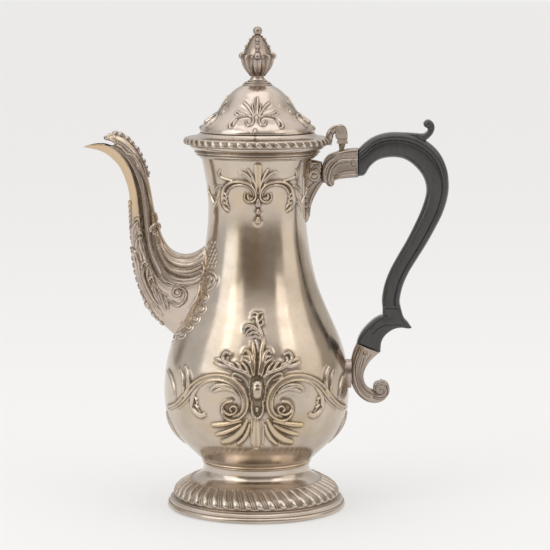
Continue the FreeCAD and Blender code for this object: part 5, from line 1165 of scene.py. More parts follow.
# ------------------------------------------------------------------ tubes and plates
def section(hx, w, power, count):
    """A rounded closed section as evenly spaced points: (across the stroke, along Y)."""
    t = np.linspace(0, 2 * math.pi, 1441)
    c, s = np.cos(t), np.sin(t)
    fine = np.stack([hx * np.sign(c) * np.abs(c) ** (2 / power), w / 2 * np.sign(s) * np.abs(s) ** (2 / power)], 1)
    run = np.concatenate([[0], np.cumsum(np.linalg.norm(np.diff(fine, axis=0), axis=1))])
    at = np.linspace(0, run[-1], count, endpoint=False)
    return np.stack([np.interp(at, run, fine[:, k]) for k in (0, 1)], 1)


def tube_table(rows, cols, power=2.6, step=0.5, count=None, shape=None):
    """Points of a tube along a stroke, (rows, cols, 3). shape gives the section as (across -1..1, half width 0..1) points."""
    flat = np.array([(a[0], a[1], b[0], b[1], w) for a, b, w in rows], float)
    mid = np.stack([(flat[:, 0] + flat[:, 2]) / 2, (flat[:, 1] + flat[:, 3]) / 2, 0 * flat[:, 0]], 1)
    fine = spline(np.hstack([mid, flat]), step=step, count=count)[:, 3:]
    out = []
    for ox, oz, ix, iz, w in fine:
        cx, cz, m = (ox + ix) / 2, (oz + iz) / 2, math.hypot(ox - ix, oz - iz)
        ux, uz = (ox - ix) / m, (oz - iz) / m
        if shape is None:
            s = section(m / 2, w, power, cols)
        else:
            s = np.stack([shape[:, 0] * m / 2, shape[:, 1] * w / 2], 1)
        out.append(np.stack([cx + ux * s[:, 0], s[:, 1], cz + uz * s[:, 0]], 1))
    return np.array(out)


def table_normals(P, wrap_rows=False):
    du = np.roll(P, -1, 1) - np.roll(P, 1, 1)
    dv = (np.roll(P, -1, 0) - np.roll(P, 1, 0)) if wrap_rows else np.gradient(P, axis=0)
    n = np.cross(du, dv)
    return n / np.maximum(np.linalg.norm(n, axis=-1), 1e-9)[..., None]


def tube_faces(rows, cols, caps=True, wrap_rows=False):
    r0, c0 = np.arange(rows if wrap_rows else rows - 1), np.arange(cols)
    R, C = np.meshgrid(r0, c0, indexing="ij")
    R2, C2 = (R + 1) % rows, (C + 1) % cols
    faces = np.stack([R * cols + C, R * cols + C2, R2 * cols + C2, R2 * cols + C], -1).reshape(-1, 4).tolist()
    return faces


def capped(P):
    """Vertices and faces of a tube closed at both ends with a shallow fan."""
    rows, cols = P.shape[:2]
    V = P.reshape(-1, 3)
    faces = tube_faces(rows, cols)
    n = len(V)
    extra = []
    for r, flip in ((0, True), (rows - 1, False)):
        c = P[r].mean(0)
        ring = c + (P[r] - c) * 0.96
        extra += [ring, c[None]]
        base = n
        n += cols + 1
        for k in range(cols):
            a, b = r * cols + k, r * cols + (k + 1) % cols
            i, j = base + k, base + (k + 1) % cols
            q = [a, b, j, i]
            t = [i, j, base + cols]
            faces += [q[::-1], t[::-1]] if flip else [q, t]
    return np.vstack([V] + extra), faces


class SideRelief:
    """Heights over points that are seen along Y. Both sides of the piece take every stroke."""

    def __init__(self, P):
        self.x, self.z = P[..., 0].ravel(), P[..., 2].ravel()
        self.shape = P.shape[:-1]
        self.h = np.zeros(self.x.size)
        self.c = np.zeros(self.x.size)
        self.r = np.zeros(self.x.size)

    def stroke(self, kind, pts, keep=None):
        path = spline(np.asarray(pts, float), step=0.18)
        reach = path[:, 2].max() + 1.2
        m = (self.x > path[:, 0].min() - reach) & (self.x < path[:, 0].max() + reach) & \
            (self.z > path[:, 1].min() - reach) & (self.z < path[:, 1].max() + reach)
        if keep is not None:
            m &= keep
        sel = np.where(m)[0]
        if not len(sel):
            return
        best, at = np.full(len(sel), 1e9), np.zeros(len(sel), int)
        for k in range(0, len(path), 48):
            d = (self.x[sel, None] - path[None, k:k + 48, 0]) ** 2 + (self.z[sel, None] - path[None, k:k + 48, 1]) ** 2
            j = d.argmin(1)
            v = d[np.arange(len(sel)), j]
            w = v < best
            best[w], at[w] = v[w], j[w] + k
        close = best < reach ** 2
        sel, best, at = sel[close], best[close], at[close]
        w, h = path[at, 2], path[at, 3]
        q = np.sqrt(best) / w
        if kind in ("flute", "sink"):
            g = h * (np.clip(1 - q**2, 0, 1) ** 0.9 if kind == "flute" else np.clip(1 - q**6, 0, 1))
            self.h[sel] -= g * (g > 0)
            # painted shade in the hollow; the next line lightens its sides as a painted highlight through the ridge
            # table
            self.c[sel] = np.maximum(self.c[sel], np.clip(g / 0.8, 0, 1) * (0.85 if kind == "flute" else 0.35))
            self.r[sel] = np.maximum(self.r[sel], np.clip(1.5 - q, 0, 1) * 0.8)
            return
        if kind == "round":
            f = h * np.clip(1 - q**2, 0, 1) ** 0.6
        elif kind == "leaf":
            f = h * np.clip(1 - q**2, 0, 1) ** 0.5 * (1 - 0.42 * np.exp(-(q / 0.2) ** 2))
            # painted shade along the leaf's middle groove
            self.c[sel] = np.maximum(self.c[sel], 0.45 * np.exp(-(q / 0.16) ** 2) * (h > 0.3))
        else:
            f = h * np.clip(1 - q**4, 0, 1) ** 0.8
        self.h[sel] = np.maximum(self.h[sel], f) if kind == "flat" else np.maximum(self.h[sel], f + 0.35 * np.clip(self.h[sel], -1, 1) * (q < 1))
        # a dark outline round the stroke: a slight groove, also painted darker as shade
        edge = np.exp(-((np.sqrt(best) - w - 0.12) / 0.22) ** 2) * np.clip(h / 0.8, 0, 1)
        if kind != "flat":
            self.h[sel] -= edge * 0.10
            self.c[sel] = np.maximum(self.c[sel], edge * 0.75)
        # the ridge table lightens the stroke and its sides as a painted highlight, together with the tarnish film
        self.r[sel] = np.maximum(self.r[sel], np.clip(1.6 - q, 0, 1) * 0.9)

    def work(self, table, keep=None):
        order = {"flat": 0, "sink": 1, "flute": 2, "leaf": 3, "round": 4}
        for kind, pts in sorted(table, key=lambda s: order[s[0]]):
            self.stroke(kind, pts, keep)
        return self

    def tables(self):
        return self.h.reshape(self.shape), np.clip(self.c, 0, 1).reshape(self.shape), np.clip(self.r, 0, 1).reshape(self.shape)


def smooth_outline(points, step=0.3, sharp=()):
    """A closed smooth outline through points in the XZ plane; sharp is not used."""
    return spline(points, step=step, closed=True)[:-1]


def plate(parts, outline, y0, y1, edge=0.8, step=0.55, work=(), bulge=0.0, cav=0.0, both=True):
    """A flat piece cut to the outline in the XZ plane, from y0 to y1, with rounded edges, a slight bulge, and worked faces."""
    from mathutils import Vector
    from mathutils.geometry import delaunay_2d_cdt
    ol = np.asarray(outline, float)[:, :2]
    n = len(ol)
    half = (y1 - y0) / 2
    edge = min(edge, half * 0.98)
    # nested rings near the edge carry the rounding
    a2 = 0.5 * np.sum(ol[:, 0] * np.roll(ol[:, 1], -1) - np.roll(ol[:, 0], -1) * ol[:, 1])
    if a2 < 0:
        ol = ol[::-1].copy()
    lo, hi = ol.min(0), ol.max(0)
    xs = np.arange(lo[0] + step / 2, hi[0], step)
    zs = np.arange(lo[1] + step / 2, hi[1], step * 0.87)
    G = np.array([(x + (step / 2 if k % 2 else 0), z) for k, z in enumerate(zs) for x in xs])
    seg_a, seg_b = ol, np.roll(ol, -1, 0)

    def edge_distance(Q):
        out = np.full(len(Q), 1e9)
        for k in range(0, len(Q), 2000):
            q = Q[k:k + 2000, None, :]
            ab = (seg_b - seg_a)[None]
            t = np.clip(((q - seg_a[None]) * ab).sum(-1) / np.maximum((ab**2).sum(-1), 1e-12), 0, 1)
            out[k:k + 2000] = np.sqrt((((q - (seg_a[None] + t[..., None] * ab)) ** 2).sum(-1)).min(1))
        return out

    def inside(Q):
        c = np.zeros(len(Q), bool)
        for a, b in zip(seg_a, seg_b):
            if a[1] == b[1]:
                continue
            m = (a[1] > Q[:, 1]) != (b[1] > Q[:, 1])
            xx = (b[0] - a[0]) * (Q[:, 1] - a[1]) / (b[1] - a[1]) + a[0]
            c ^= m & (Q[:, 0] < xx)
        return c
    G = G[inside(G)]
    d = edge_distance(G)
    G = G[d > edge + step * 0.35]
    nrm = np.roll(ol, -1, 0) - np.roll(ol, 1, 0)
    nrm = np.stack([-nrm[:, 1], nrm[:, 0]], 1)
    nrm /= np.maximum(np.linalg.norm(nrm, axis=1), 1e-9)[:, None]
    rings = [ol]
    pts = [ol]
    for f in (0.12, 0.35, 0.65, 1.0):
        R = ol + nrm * edge * f
        keep = inside(R)
        R = R[keep]
        dd = edge_distance(R)
        R = R[dd > edge * f * 0.86]
        pts.append(R)
    allp = np.vstack(pts + [G])
    verts2, _, faces, _, _, _ = delaunay_2d_cdt([Vector((float(p[0]), float(p[1]))) for p in allp], [],
                                                [list(range(n))], 1, 1e-5)
    V2 = np.array([(v[0], v[1]) for v in verts2])
    tri = [list(f) for f in faces]
    dist = edge_distance(V2)
    e = np.clip(dist / max(edge, 1e-6), 0, 1)
    round_y = edge * (1 - np.sqrt(np.maximum(1 - (1 - e) ** 2, 0)))
    dome = bulge * (1 - np.exp(-dist / max(dist.max() * 0.6, 1e-6)))
    base = half - round_y + dome
    P = np.stack([V2[:, 0], 0 * V2[:, 0], V2[:, 1]], 1)
    rel = SideRelief(P)
    if len(work):
        rel.work(work)
    h, c, r = rel.tables()
    fade = np.clip(dist / 0.5, 0, 1)
    y = base + h * fade
    mid = (y0 + y1) / 2
    # boundary loop of the triangulation
    count = {}
    for f in tri:
        for k in range(3):
            a, b = f[k], f[(k + 1) % 3]
            count[(a, b)] = count.get((a, b), 0) + 1
    border = [(a, b) for (a, b) in count if (b, a) not in count]
    m = len(V2)
    back = np.stack([V2[:, 0], mid + y, V2[:, 1]], 1)
    front = np.stack([V2[:, 0], mid - y, V2[:, 1]], 1)
    F = [f for f in tri] + [[i + m for i in f[::-1]] for f in tri]
    for a, b in border:
        F.append([b, a, a + m, b + m])
    attr_c = np.clip(np.concatenate([c, c]) + cav, 0, 1)
    parts.add(np.vstack([front, back]), F, cav=attr_c, ridge=np.concatenate([r, r]))
    return parts


def ball(parts, centre, radii, cols=28, rows=18, cav=0.0, ridge=0.3, wave=None):
    """A closed rounded bead. radii are along X, Y and Z."""
    ph = np.linspace(0, math.pi, rows)
    th = np.linspace(0, 2 * math.pi, cols, endpoint=False)
    s = np.sin(ph)[:, None]
    P = np.stack([s * np.cos(th), s * np.sin(th), np.cos(ph)[:, None] + 0 * th], -1)
    if wave is not None:
        P = P * wave(ph[:, None], th[None, :])[..., None]
    keep, quads, n = grid_faces(rows, cols, poles=(0, rows - 1))
    V = P.reshape(-1, 3)[keep] * np.asarray(radii, float) + np.asarray(centre, float)
    parts.add(V, clean(quads), cav=cav, ridge=ridge)
    return parts


def ring_about_y(parts, cx, cz, prof, cols=64, cav=0.0, ridge=0.3):
    """A turned ring or boss about a line along Y through (cx, cz). prof is (radius, y) points, closed unless it ends on radius 0."""
    prof = np.asarray(prof, float)
    poles = [k for k in (0, len(prof) - 1) if prof[k, 0] < 1e-6]
    th = np.linspace(0, 2 * math.pi, cols, endpoint=False)
    P = np.stack([cx + prof[:, :1] * np.cos(th), prof[:, 1:] + 0 * th, cz + prof[:, :1] * np.sin(th)], -1)
    keep, quads, n = grid_faces(len(prof), cols, wrap_rows=not poles, poles=poles)
    parts.add(P.reshape(-1, 3)[keep], clean(quads), cav=cav, ridge=ridge)
    return parts


def wire(parts, path, radius, cols=12, cav=0.0, ridge=0.6, squash=1.0, normal=None):
    """A round wire along 3-D points, closed at both ends with a shallow fan. radius is a number or one per point."""
    path = np.asarray(path, float)
    n = len(path)
    rad = np.broadcast_to(np.asarray(radius, float), (n,)).copy()
    t = np.linspace(0, 1, n)
    T = np.gradient(path, axis=0)
    T /= np.maximum(np.linalg.norm(T, axis=1), 1e-9)[:, None]
    up = np.array([0.0, 1.0, 0.0]) if normal is None else None
    A, B = np.zeros_like(path), np.zeros_like(path)
    for k in range(n):
        ref = up if normal is None else normal[k]
        b = ref - T[k] * (ref @ T[k])
        if np.linalg.norm(b) < 1e-6:
            b = np.array([1.0, 0.0, 0.0])
        b /= np.linalg.norm(b)
        B[k], A[k] = b, np.cross(T[k], b)
    a = np.linspace(0, 2 * math.pi, cols, endpoint=False)
    P = path[:, None, :] + rad[:, None, None] * (A[:, None, :] * np.cos(a)[None, :, None] + squash * B[:, None, :] * np.sin(a)[None, :, None])
    V, F = capped(P)
    parts.add(V, F, cav=cav, ridge=ridge)
    return parts


# ------------------------------------------------------------------ spout
SPOUT = [((-12.0, 152.0), (-38.0, 93.0), 25.6), ((-20.0, 154.4), (-47.6, 100.4), 25.5), ((-25.8, 154.5), (-54.0, 106.3), 25.0),
         ((-29.8, 153.4), (-59.6, 112.2), 24.0), ((-34.2, 150.4), (-64.6, 119.6), 22.4), ((-39.4, 148.4), (-68.2, 128.0), 20.2),
         ((-45.2, 148.8), (-70.7, 137.0), 17.8), ((-50.4, 151.8), (-72.2, 146.0), 15.6), ((-54.4, 157.6), (-72.9, 154.6), 14.0),
         ((-57.2, 165.4), (-73.3, 164.0), 13.0), ((-59.6, 174.8), (-73.6, 174.4), 12.4), ((-61.3, 184.3), (-74.4, 184.3), 12.0),
         ((-63.2, 193.2), (-76.3, 191.4), 11.8), ((-66.4, 202.0), (-79.2, 198.0), 11.5), ((-70.6, 209.6), (-82.8, 202.6), 11.0),
         ((-76.2, 214.9), (-87.4, 206.4), 10.2), ((-82.6, 217.4), (-92.0, 208.5), 8.6), ((-90.0, 216.2), (-96.0, 209.4), 5.6),
         ((-99.4, 211.6), (-100.3, 210.2), 1.8)]
LIP = np.array([(-110, 211.9), (-96.4, 212.2), (-88.3, 212.3), (-84.6, 210.9), (-82.4, 211.6), (-82.0, 213.0), (-84.4, 214.6),
                (-87.2, 215.0), (-87.9, 217.0), (-87.3, 219.0), (-87.6, 235), (-110, 235)], float)


def in_polygon(x, z, poly):
    c = np.zeros(x.shape, bool)
    for a, b in zip(poly, np.roll(poly, -1, 0)):
        if a[1] == b[1]:
            continue
        m = (a[1] > z) != (b[1] > z)
        xx = (b[0] - a[0]) * (z - a[1]) / (b[1] - a[1]) + a[0]
        c ^= m & (x < xx)
    return c


SCOLS = 300 if Q else 420
table = tube_table(SPOUT, SCOLS, 2.3, count=1400)
hit = in_polygon(table[..., 0], table[..., 2], LIP)
hit[:900] = False
first_hit = np.where(hit.any(0), hit.argmax(0), len(table) - 1)
first_hit = np.round(sum(np.roll(first_hit, k) for k in (-1, 0, 1)) / 3.0).astype(int)
first_hit = np.minimum(first_hit, np.where(hit.any(0), hit.argmax(0), len(table) - 1))
START = 90


def draw_rows(tab, count, stop_at):
    """Rows of the spout from its start to each column's own end, even up to a common place and stretched after it."""
    common = 1010
    t = np.linspace(0, 1, count)
    split = 0.80
    out = np.zeros((count, tab.shape[1], 3))
    cols = np.arange(tab.shape[1])
    for k, u in enumerate(t):
        s = START + (common - START) * u / split + 0.0 * cols if u < split else common + (stop_at - common) * (u - split) / (1 - split)
        i = np.clip(np.floor(s).astype(int), 0, len(tab) - 2)
        f = (s - i)[:, None]
        out[k] = tab[i, cols] * (1 - f) + tab[i + 1, cols] * f
    return out


SROWS = 420 if Q else 640
skin = draw_rows(table, SROWS, first_hit)
rel = SideRelief(skin)
rel.work(SPOUT_WORK)
sh, sc, sr = rel.tables()
N = table_normals(skin)
centre = skin.mean(1, keepdims=True)
if ((skin - centre) * N).sum(-1).mean() < 0:
    N = -N
endfade = np.clip(np.linspace(1, 0, SROWS) * SROWS / 5.0, 0, 1)[:, None]
chased = skin + N * (sh * endfade)[..., None]
wall = []
for (o, i, w) in SPOUT:
    m = math.hypot(o[0] - i[0], o[1] - i[1])
    ux, uz = (o[0] - i[0]) / m, (o[1] - i[1]) / m
    d = min(1.25, m / 2 - 0.25)
    wall.append(((o[0] - ux * d, o[1] - uz * d), (i[0] + ux * d, i[1] + uz * d), max(w - 2.5, 0.5)))
inner_table = tube_table(wall, SCOLS, 2.3, count=1400)
inside = draw_rows(inner_table, 150, np.minimum(first_hit, 1385))[::-1]
both = np.vstack([chased, inside])
rows = len(both)
mid_x = (skin[..., 0] - skin[..., 0].min(1, keepdims=True)) / np.maximum(np.ptp(skin[..., 0], axis=1)[:, None], 0.1)
# the cav table is raised over a band across the spout between 158 and 206 mm up
sc = np.clip(sc + 0.24 * np.clip(1 - np.abs(mid_x - 0.66) / 0.26, 0, 1) ** 0.5 * np.clip((skin[..., 2] - 158) / 12, 0, 1) * np.clip((206 - skin[..., 2]) / 10, 0, 1), 0, 1)
# painted shade: the inside of the spout takes a dark 0.85 in the cav table
A = {"cav": np.vstack([sc, np.full(inside.shape[:2], 0.85)]), "ridge": np.vstack([np.clip(sr + 0.15, 0, 1), np.zeros(inside.shape[:2])])}
faces = outwards(both.reshape(-1, 3), tube_faces(rows, SCOLS, wrap_rows=True))
spout = Parts()
spout.v.append(both.reshape(-1, 3)); spout.f += faces; spout.n = rows * SCOLS
x0, x1 = skin[..., 0].min(1, keepdims=True), skin[..., 0].max(1, keepdims=True)
place = (skin[..., 0] - x0) / np.maximum(x1 - x0, 0.1)
gold = np.clip((0.44 - place) / 0.12, 0, 1) * np.clip((skin[..., 2] - 164.0) / 12.0, 0, 1) * 0.9
gold = np.maximum(gold, 0.4 * np.clip((place - 0.80) / 0.1, 0, 1) * np.clip((skin[..., 2] - 150.0) / 15.0, 0, 1) * np.clip((193.0 - skin[..., 2]) / 8.0, 0, 1))
spout.a = {"cav": [A["cav"].ravel()], "ridge": [A["ridge"].ravel()], "gold": [np.vstack([gold, np.zeros(inside.shape[:2])]).ravel()]}


def on_body(deg, z, lift=0.0):
    order = np.argsort(outer[:, 1])
    r = np.interp(z, outer[order, 1], outer[order, 0]) + lift
    a = np.radians(deg)
    return np.stack([r * np.sin(a), -r * np.cos(a), z], -1)


for side in (1, -1):
    w = spline(np.array(ROOT_WIRE, float)[2:], step=0.5)
    p = on_body(w[:, 0], w[:, 1], 0.35)
    p[:, 1] *= side
    nn = p * [1, 1, 0]
    nn /= np.linalg.norm(nn, axis=1)[:, None]
    t = np.linspace(0, 1, len(p))
    wire(spout, p, 0.42 + 0.55 * np.sin(np.pi * np.clip(t, 0.02, 0.98)) ** 0.5 + 0.12 * np.sin(t * 60), cols=14, normal=nn, ridge=0.9)
CURL = [(-61.7, 161.6, 5.9), (-61.5, 163.6, 5.8), (-60.6, 165.0, 5.4), (-59.2, 165.9, 4.3), (-57.8, 165.8, 2.9), (-56.8, 164.8, 1.9),
        (-56.7, 163.5, 1.4), (-57.4, 162.5, 1.4)]
for side in (1, -1):
    w = spline(np.array(CURL, float), step=0.3)
    wire(spout, np.stack([w[:, 0], -side * w[:, 2], w[:, 1]], -1), 0.95, cols=14, ridge=1.0)
spout.build("spout_chased", "pot", SILVER_SPOUT, ["spout_right_half", "spout_left_half"])

# Crest: graduated curled beads on a strip along the hood.
crest = Parts()
BEADS = [(-81.6, 218.0, 1.95), (-78.6, 217.4, 1.8), (-74.9, 215.2, 1.7), (-72.5, 212.8, 1.6), (-69.4, 209.4, 1.5),
         (-67.5, 206.2, 1.4), (-65.5, 202.4, 1.25), (-64.2, 199.0, 1.1), (-62.9, 195.6, 1.0)]
for k, (bx, bz, br) in enumerate(BEADS):
    nx, nz = BEADS[min(k + 1, len(BEADS) - 1)][0] - BEADS[max(k - 1, 0)][0], BEADS[min(k + 1, len(BEADS) - 1)][1] - BEADS[max(k - 1, 0)][1]
    m = math.hypot(nx, nz)
    c, s = nx / m, nz / m
    cols_b, rows_b = 36, 22
    ph = np.linspace(0, math.pi, rows_b)
    th = np.linspace(0, 2 * math.pi, cols_b, endpoint=False)
    S = np.stack([np.sin(ph)[:, None] * np.cos(th), np.sin(ph)[:, None] * np.sin(th), np.cos(ph)[:, None] + 0 * th], -1)
    # a curled lip: one groove round the bead near its lower end
    g = np.exp(-((S[..., 0] - 0.25) / 0.16) ** 2) * 0.16
    S = S * (1 - g)[..., None] * [1.28, 1.02, 0.92]
    X = bx + br * (S[..., 0] * c - S[..., 2] * s)
    Z = bz + br * (S[..., 0] * s + S[..., 2] * c)
    keep, quads, n = grid_faces(rows_b, cols_b, poles=(0, rows_b - 1))
    # the groove is painted darker as shade through the cav table
    crest.add(np.stack([X, br * S[..., 1], Z], -1).reshape(-1, 3)[keep], clean(quads), cav=np.clip(g * 6, 0, 1).reshape(-1)[keep], ridge=0.6)
STRIP = [((-83.4, 218.9), (-84.0, 216.0), 2.2), ((-79.0, 218.2), (-80.0, 215.2), 2.4), ((-74.2, 215.0), (-76.0, 212.0), 2.4),
         ((-70.0, 210.8), (-72.6, 208.8), 2.2), ((-66.4, 204.6), (-69.4, 203.2), 2.0), ((-63.8, 198.4), (-66.6, 197.6), 1.8),
         ((-62.2, 193.2), (-64.6, 192.6), 1.4)]
V, F = capped(tube_table(STRIP, 32, 2.2, step=0.5))
crest.add(V, F, cav=0.35, ridge=0.5)
crest.build("spout_crest", "pot", SILVER_CREST, ["spout_crest_beads"])

# ------------------------------------------------------------------ upper socket
socket = Parts()
face = np.vstack([spline([(44.4, 207.6), (47.4, 208.6), (50.9, 209.5), (54.6, 210.0), (58.4, 210.2)], step=0.35)[:-1],
                  spline([(58.4, 210.2), (58.4, 193.6)], step=0.5)[:-1],
                  spline([(58.4, 193.6), (52.6, 193.2), (47.6, 192.6), (44.6, 191.6)], step=0.35)[:-1],
                  spline([(44.6, 191.6), (44.6, 189.9), (43.6, 188.5), (42.2, 188.1), (40.7, 188.7), (39.6, 190.2)], step=0.3)[:-1],
                  spline([(39.6, 190.2), (38.2, 190.8), (37.6, 194.6), (37.7, 199.6), (38.9, 203.6), (41.2, 206.2), (44.4, 207.6)], step=0.35)[:-1]])
plate(socket, face, -5.9, 5.9, edge=1.5, step=0.32, work=SOCKET_WORK)
socket.build("handle_socket_upper", "pot", SILVER_SOCKET, ["upper_handle_socket"])

bracket = Parts()
face = np.vstack([spline([(27.0, 203.9), (30.0, 203.7), (34.6, 202.9), (37.6, 202.1)], step=0.35)[:-1],
                  spline([(37.6, 202.1), (37.6, 199.6), (37.5, 194.6), (38.1, 190.4)], step=0.4)[:-1],
                  spline([(38.1, 190.4), (36.3, 187.6), (34.2, 184.0), (32.4, 180.2), (31.2, 176.2), (30.7, 171.6), (29.6, 168.4)], step=0.35)[:-1],
                  spline([(29.6, 168.4), (28.4, 167.0), (27.0, 167.6)], step=0.3)[:-1],
                  spline([(27.0, 167.6), (27.0, 203.9)], step=0.6)[:-1]])
plate(bracket, face, -4.6, 4.6, edge=1.6, step=0.32, work=BRACKET_WORK)
ring_about_y(bracket, 32.9, 194.8, [(0.0, -5.7), (1.2, -5.72), (1.5, -5.45), (1.9, -5.42), (2.3, -5.6), (3.1, -5.55), (3.7, -5.2), (4.0, -4.5),
                                    (4.0, 4.5), (3.7, 5.2), (3.1, 5.55), (2.3, 5.6), (1.9, 5.42), (1.5, 5.45), (1.2, 5.72), (0.0, 5.7)], cols=72, ridge=0.7)
bracket.build("socket_bracket", "pot", SILVER_SOCKET, ["upper_socket_bracket"])

# ------------------------------------------------------------------ hinge
post = Parts()
cheek = spline([(45.3, 216.0), (45.0, 219.4), (45.6, 221.9), (47.2, 223.5), (49.2, 223.6), (51.1, 222.2), (52.0, 219.0), (51.95, 216.0)], step=0.25)
cheek = np.vstack([cheek, spline([(51.95, 216.0), (45.3, 216.0)], step=0.4)[1:-1]])
for y0, y1 in ((1.75, 4.1), (-4.1, -1.75)):
    plate(post, cheek, y0, y1, edge=0.55, step=0.4)
bed = spline([(46.6, 213.4), (46.2, 215.0), (45.4, 216.7)], step=0.3)
bed = np.vstack([bed, [(47.0, 216.72), (49.0, 216.72), (51.0, 216.72), (52.0, 216.7)], spline([(52.0, 216.7), (51.9, 215.0), (51.6, 213.4)], step=0.3)[1:],
                 [(50.2, 213.4), (48.4, 213.4)]])
# the bed between the cheeks is painted slightly darker as shade
plate(post, bed, -4.1, 4.1, edge=0.3, step=0.5, cav=0.1)
ledge = spline([(46.2, 213.1), (46.0, 213.6), (46.4, 214.1), (49.0, 214.2), (51.9, 214.1), (52.3, 213.6), (52.0, 213.1), (49.0, 213.0)], step=0.25, closed=True)[:-1]
plate(post, ledge, -4.45, 4.45, edge=0.45, step=0.4, cav=0.0)
V, F = capped(tube_table([((51.6, 213.4), (46.6, 213.4), 7.4), ((51.0, 212.4), (46.9, 212.4), 5.9), ((50.6, 211.0), (47.1, 210.9), 4.5),
                          ((50.2, 209.6), (47.4, 209.3), 3.7), ((50.0, 208.0), (47.4, 207.4), 3.2)], 40, 2.4, step=0.3))
post.add(V, F, cav=0.05, ridge=0.4)
ball(post, (48.7, 0, 207.9), (2.0, 2.0, 2.0), ridge=0.5)
for side in (1, -1):
    ring_about_y(post, 47.9, 220.4, [(1.02, side * 4.05), (1.02, side * 4.3), (1.5, side * 4.36), (1.75, side * 4.25), (1.8, side * 4.05)], cols=40, cav=0.2)
post.build("hinge_post_piece", "pot", SILVER_HINGE, ["hinge_post"])

strap = Parts()
V, F = capped(tube_table([((40.0, 212.5), (42.9, 211.9), 6.4), ((39.3, 214.6), (43.4, 214.2), 6.6), ((39.5, 217.0), (43.5, 215.6), 6.6),
                          ((39.9, 218.9), (43.9, 216.7), 6.5), ((41.0, 220.7), (43.9, 217.6), 6.3), ((42.2, 221.7), (44.1, 218.4), 5.9)], 60, 3.2, step=0.3))
strap.add(V, F, ridge=0.5)
V, F = capped(tube_table([((41.4, 220.9), (44.0, 217.9), 3.1), ((43.0, 222.6), (45.0, 219.0), 3.1), ((44.6, 223.4), (45.9, 220.2), 3.1), ((46.3, 223.6), (46.4, 222.2), 3.1)], 40, 3.4, step=0.3))
strap.add(V, F, ridge=0.5)
ring_about_y(strap, 47.9, 220.4, [(1.06, -1.3), (1.3, -1.58), (2.9, -1.6), (3.3, -1.45), (3.4, -1.2), (3.4, -0.25), (3.3, 0.0), (3.4, 0.25), (3.4, 1.2),
                                  (3.3, 1.45), (2.9, 1.6), (1.3, 1.58), (1.06, 1.3)], cols=72, ridge=0.4)
for y in (-2.6, 2.6):
    p = spline([(40.6, 217.9), (41.6, 219.9), (43.0, 221.5)], step=0.3)
    wire(strap, np.stack([p[:, 0] - 0.35, 0 * p[:, 0] + y, p[:, 1] + 0.35], 1), 0.42, cols=10, ridge=0.7)
strap.build("lid_strap", "lid", SILVER_HINGE, ["lid_hinge_strap"])

bez = profile([(29.4, 208.0), (30.2, 208.0)], [(30.2, 208.0), (30.8, 212.3)], [(30.8, 212.3), (40.4, 212.3)], [(40.4, 212.3), (40.4, 213.3)],
              [(40.4, 213.3), (30.0, 213.3)], [(30.0, 213.3), (29.4, 208.0)], step=0.8)
revolve("lid_bezel_turned", bez, 240, "lid", SILVER_MOULD, ["lid_bezel"], cav=groove_shade((213.2, 0.2, 0.3)))

# ------------------------------------------------------------------ lower socket
LOWER = [((58.3, 96.4), (72.1, 91.0), 10.6), ((56.5, 92.2), (69.2, 88.6), 10.2), ((55.4, 88.2), (66.6, 86.0), 9.6),
         ((54.9, 84.0), (64.4, 82.8), 9.0), ((54.8, 80.0), (63.0, 79.6), 8.6), ((54.9, 76.2), (62.6, 76.4), 8.2),
         ((55.7, 72.0), (63.3, 73.0), 7.9), ((57.6, 67.8), (65.0, 70.4), 7.6), ((60.8, 64.1), (66.9, 69.4), 7.3),
         ((65.0, 61.5), (69.0, 68.4), 7.0), ((69.6, 60.8), (70.6, 68.0), 6.8), ((74.0, 62.2), (71.8, 68.2), 6.6),
         ((77.0, 65.4), (72.4, 68.8), 6.4), ((77.9, 69.2), (72.4, 69.6), 6.2), ((76.3, 73.4), (72.0, 70.2), 6.0),
         ((72.4, 75.0), (71.4, 70.6), 5.8)]
low = Parts()
P = tube_table(LOWER, 150, 3.0, step=0.3)
rel = SideRelief(P)
rel.work(LOWER_WORK)
h, c, r = rel.tables()
N = table_normals(P)
if ((P - P.mean(1, keepdims=True)) * N).sum(-1).mean() < 0:
    N = -N
flat = np.clip(np.abs(N[..., 1]) * 1.6 - 0.35, 0, 1)
P = P + N * (h * flat)[..., None]
V, F = capped(P)
ends = len(V) - P.shape[0] * P.shape[1]
low.add(V, F, cav=np.concatenate([(c * flat).ravel(), np.zeros(ends)]), ridge=np.concatenate([np.clip(r + 0.2, 0, 1).ravel(), np.zeros(ends)]))
t = np.linspace(0, 2 * math.pi, 60, endpoint=False)
disc = np.stack([71.9 + 3.9 * np.cos(t), 70.2 + 3.6 * np.sin(t)], 1)
plate(low, disc, -4.0, 4.0, edge=0.9, step=0.3, work=[s for s in LOWER_WORK if s[0] == "round" and len(s[1]) > 30])
low.build("handle_socket_lower", "pot", SILVER_SOCKET, ["lower_handle_socket"])

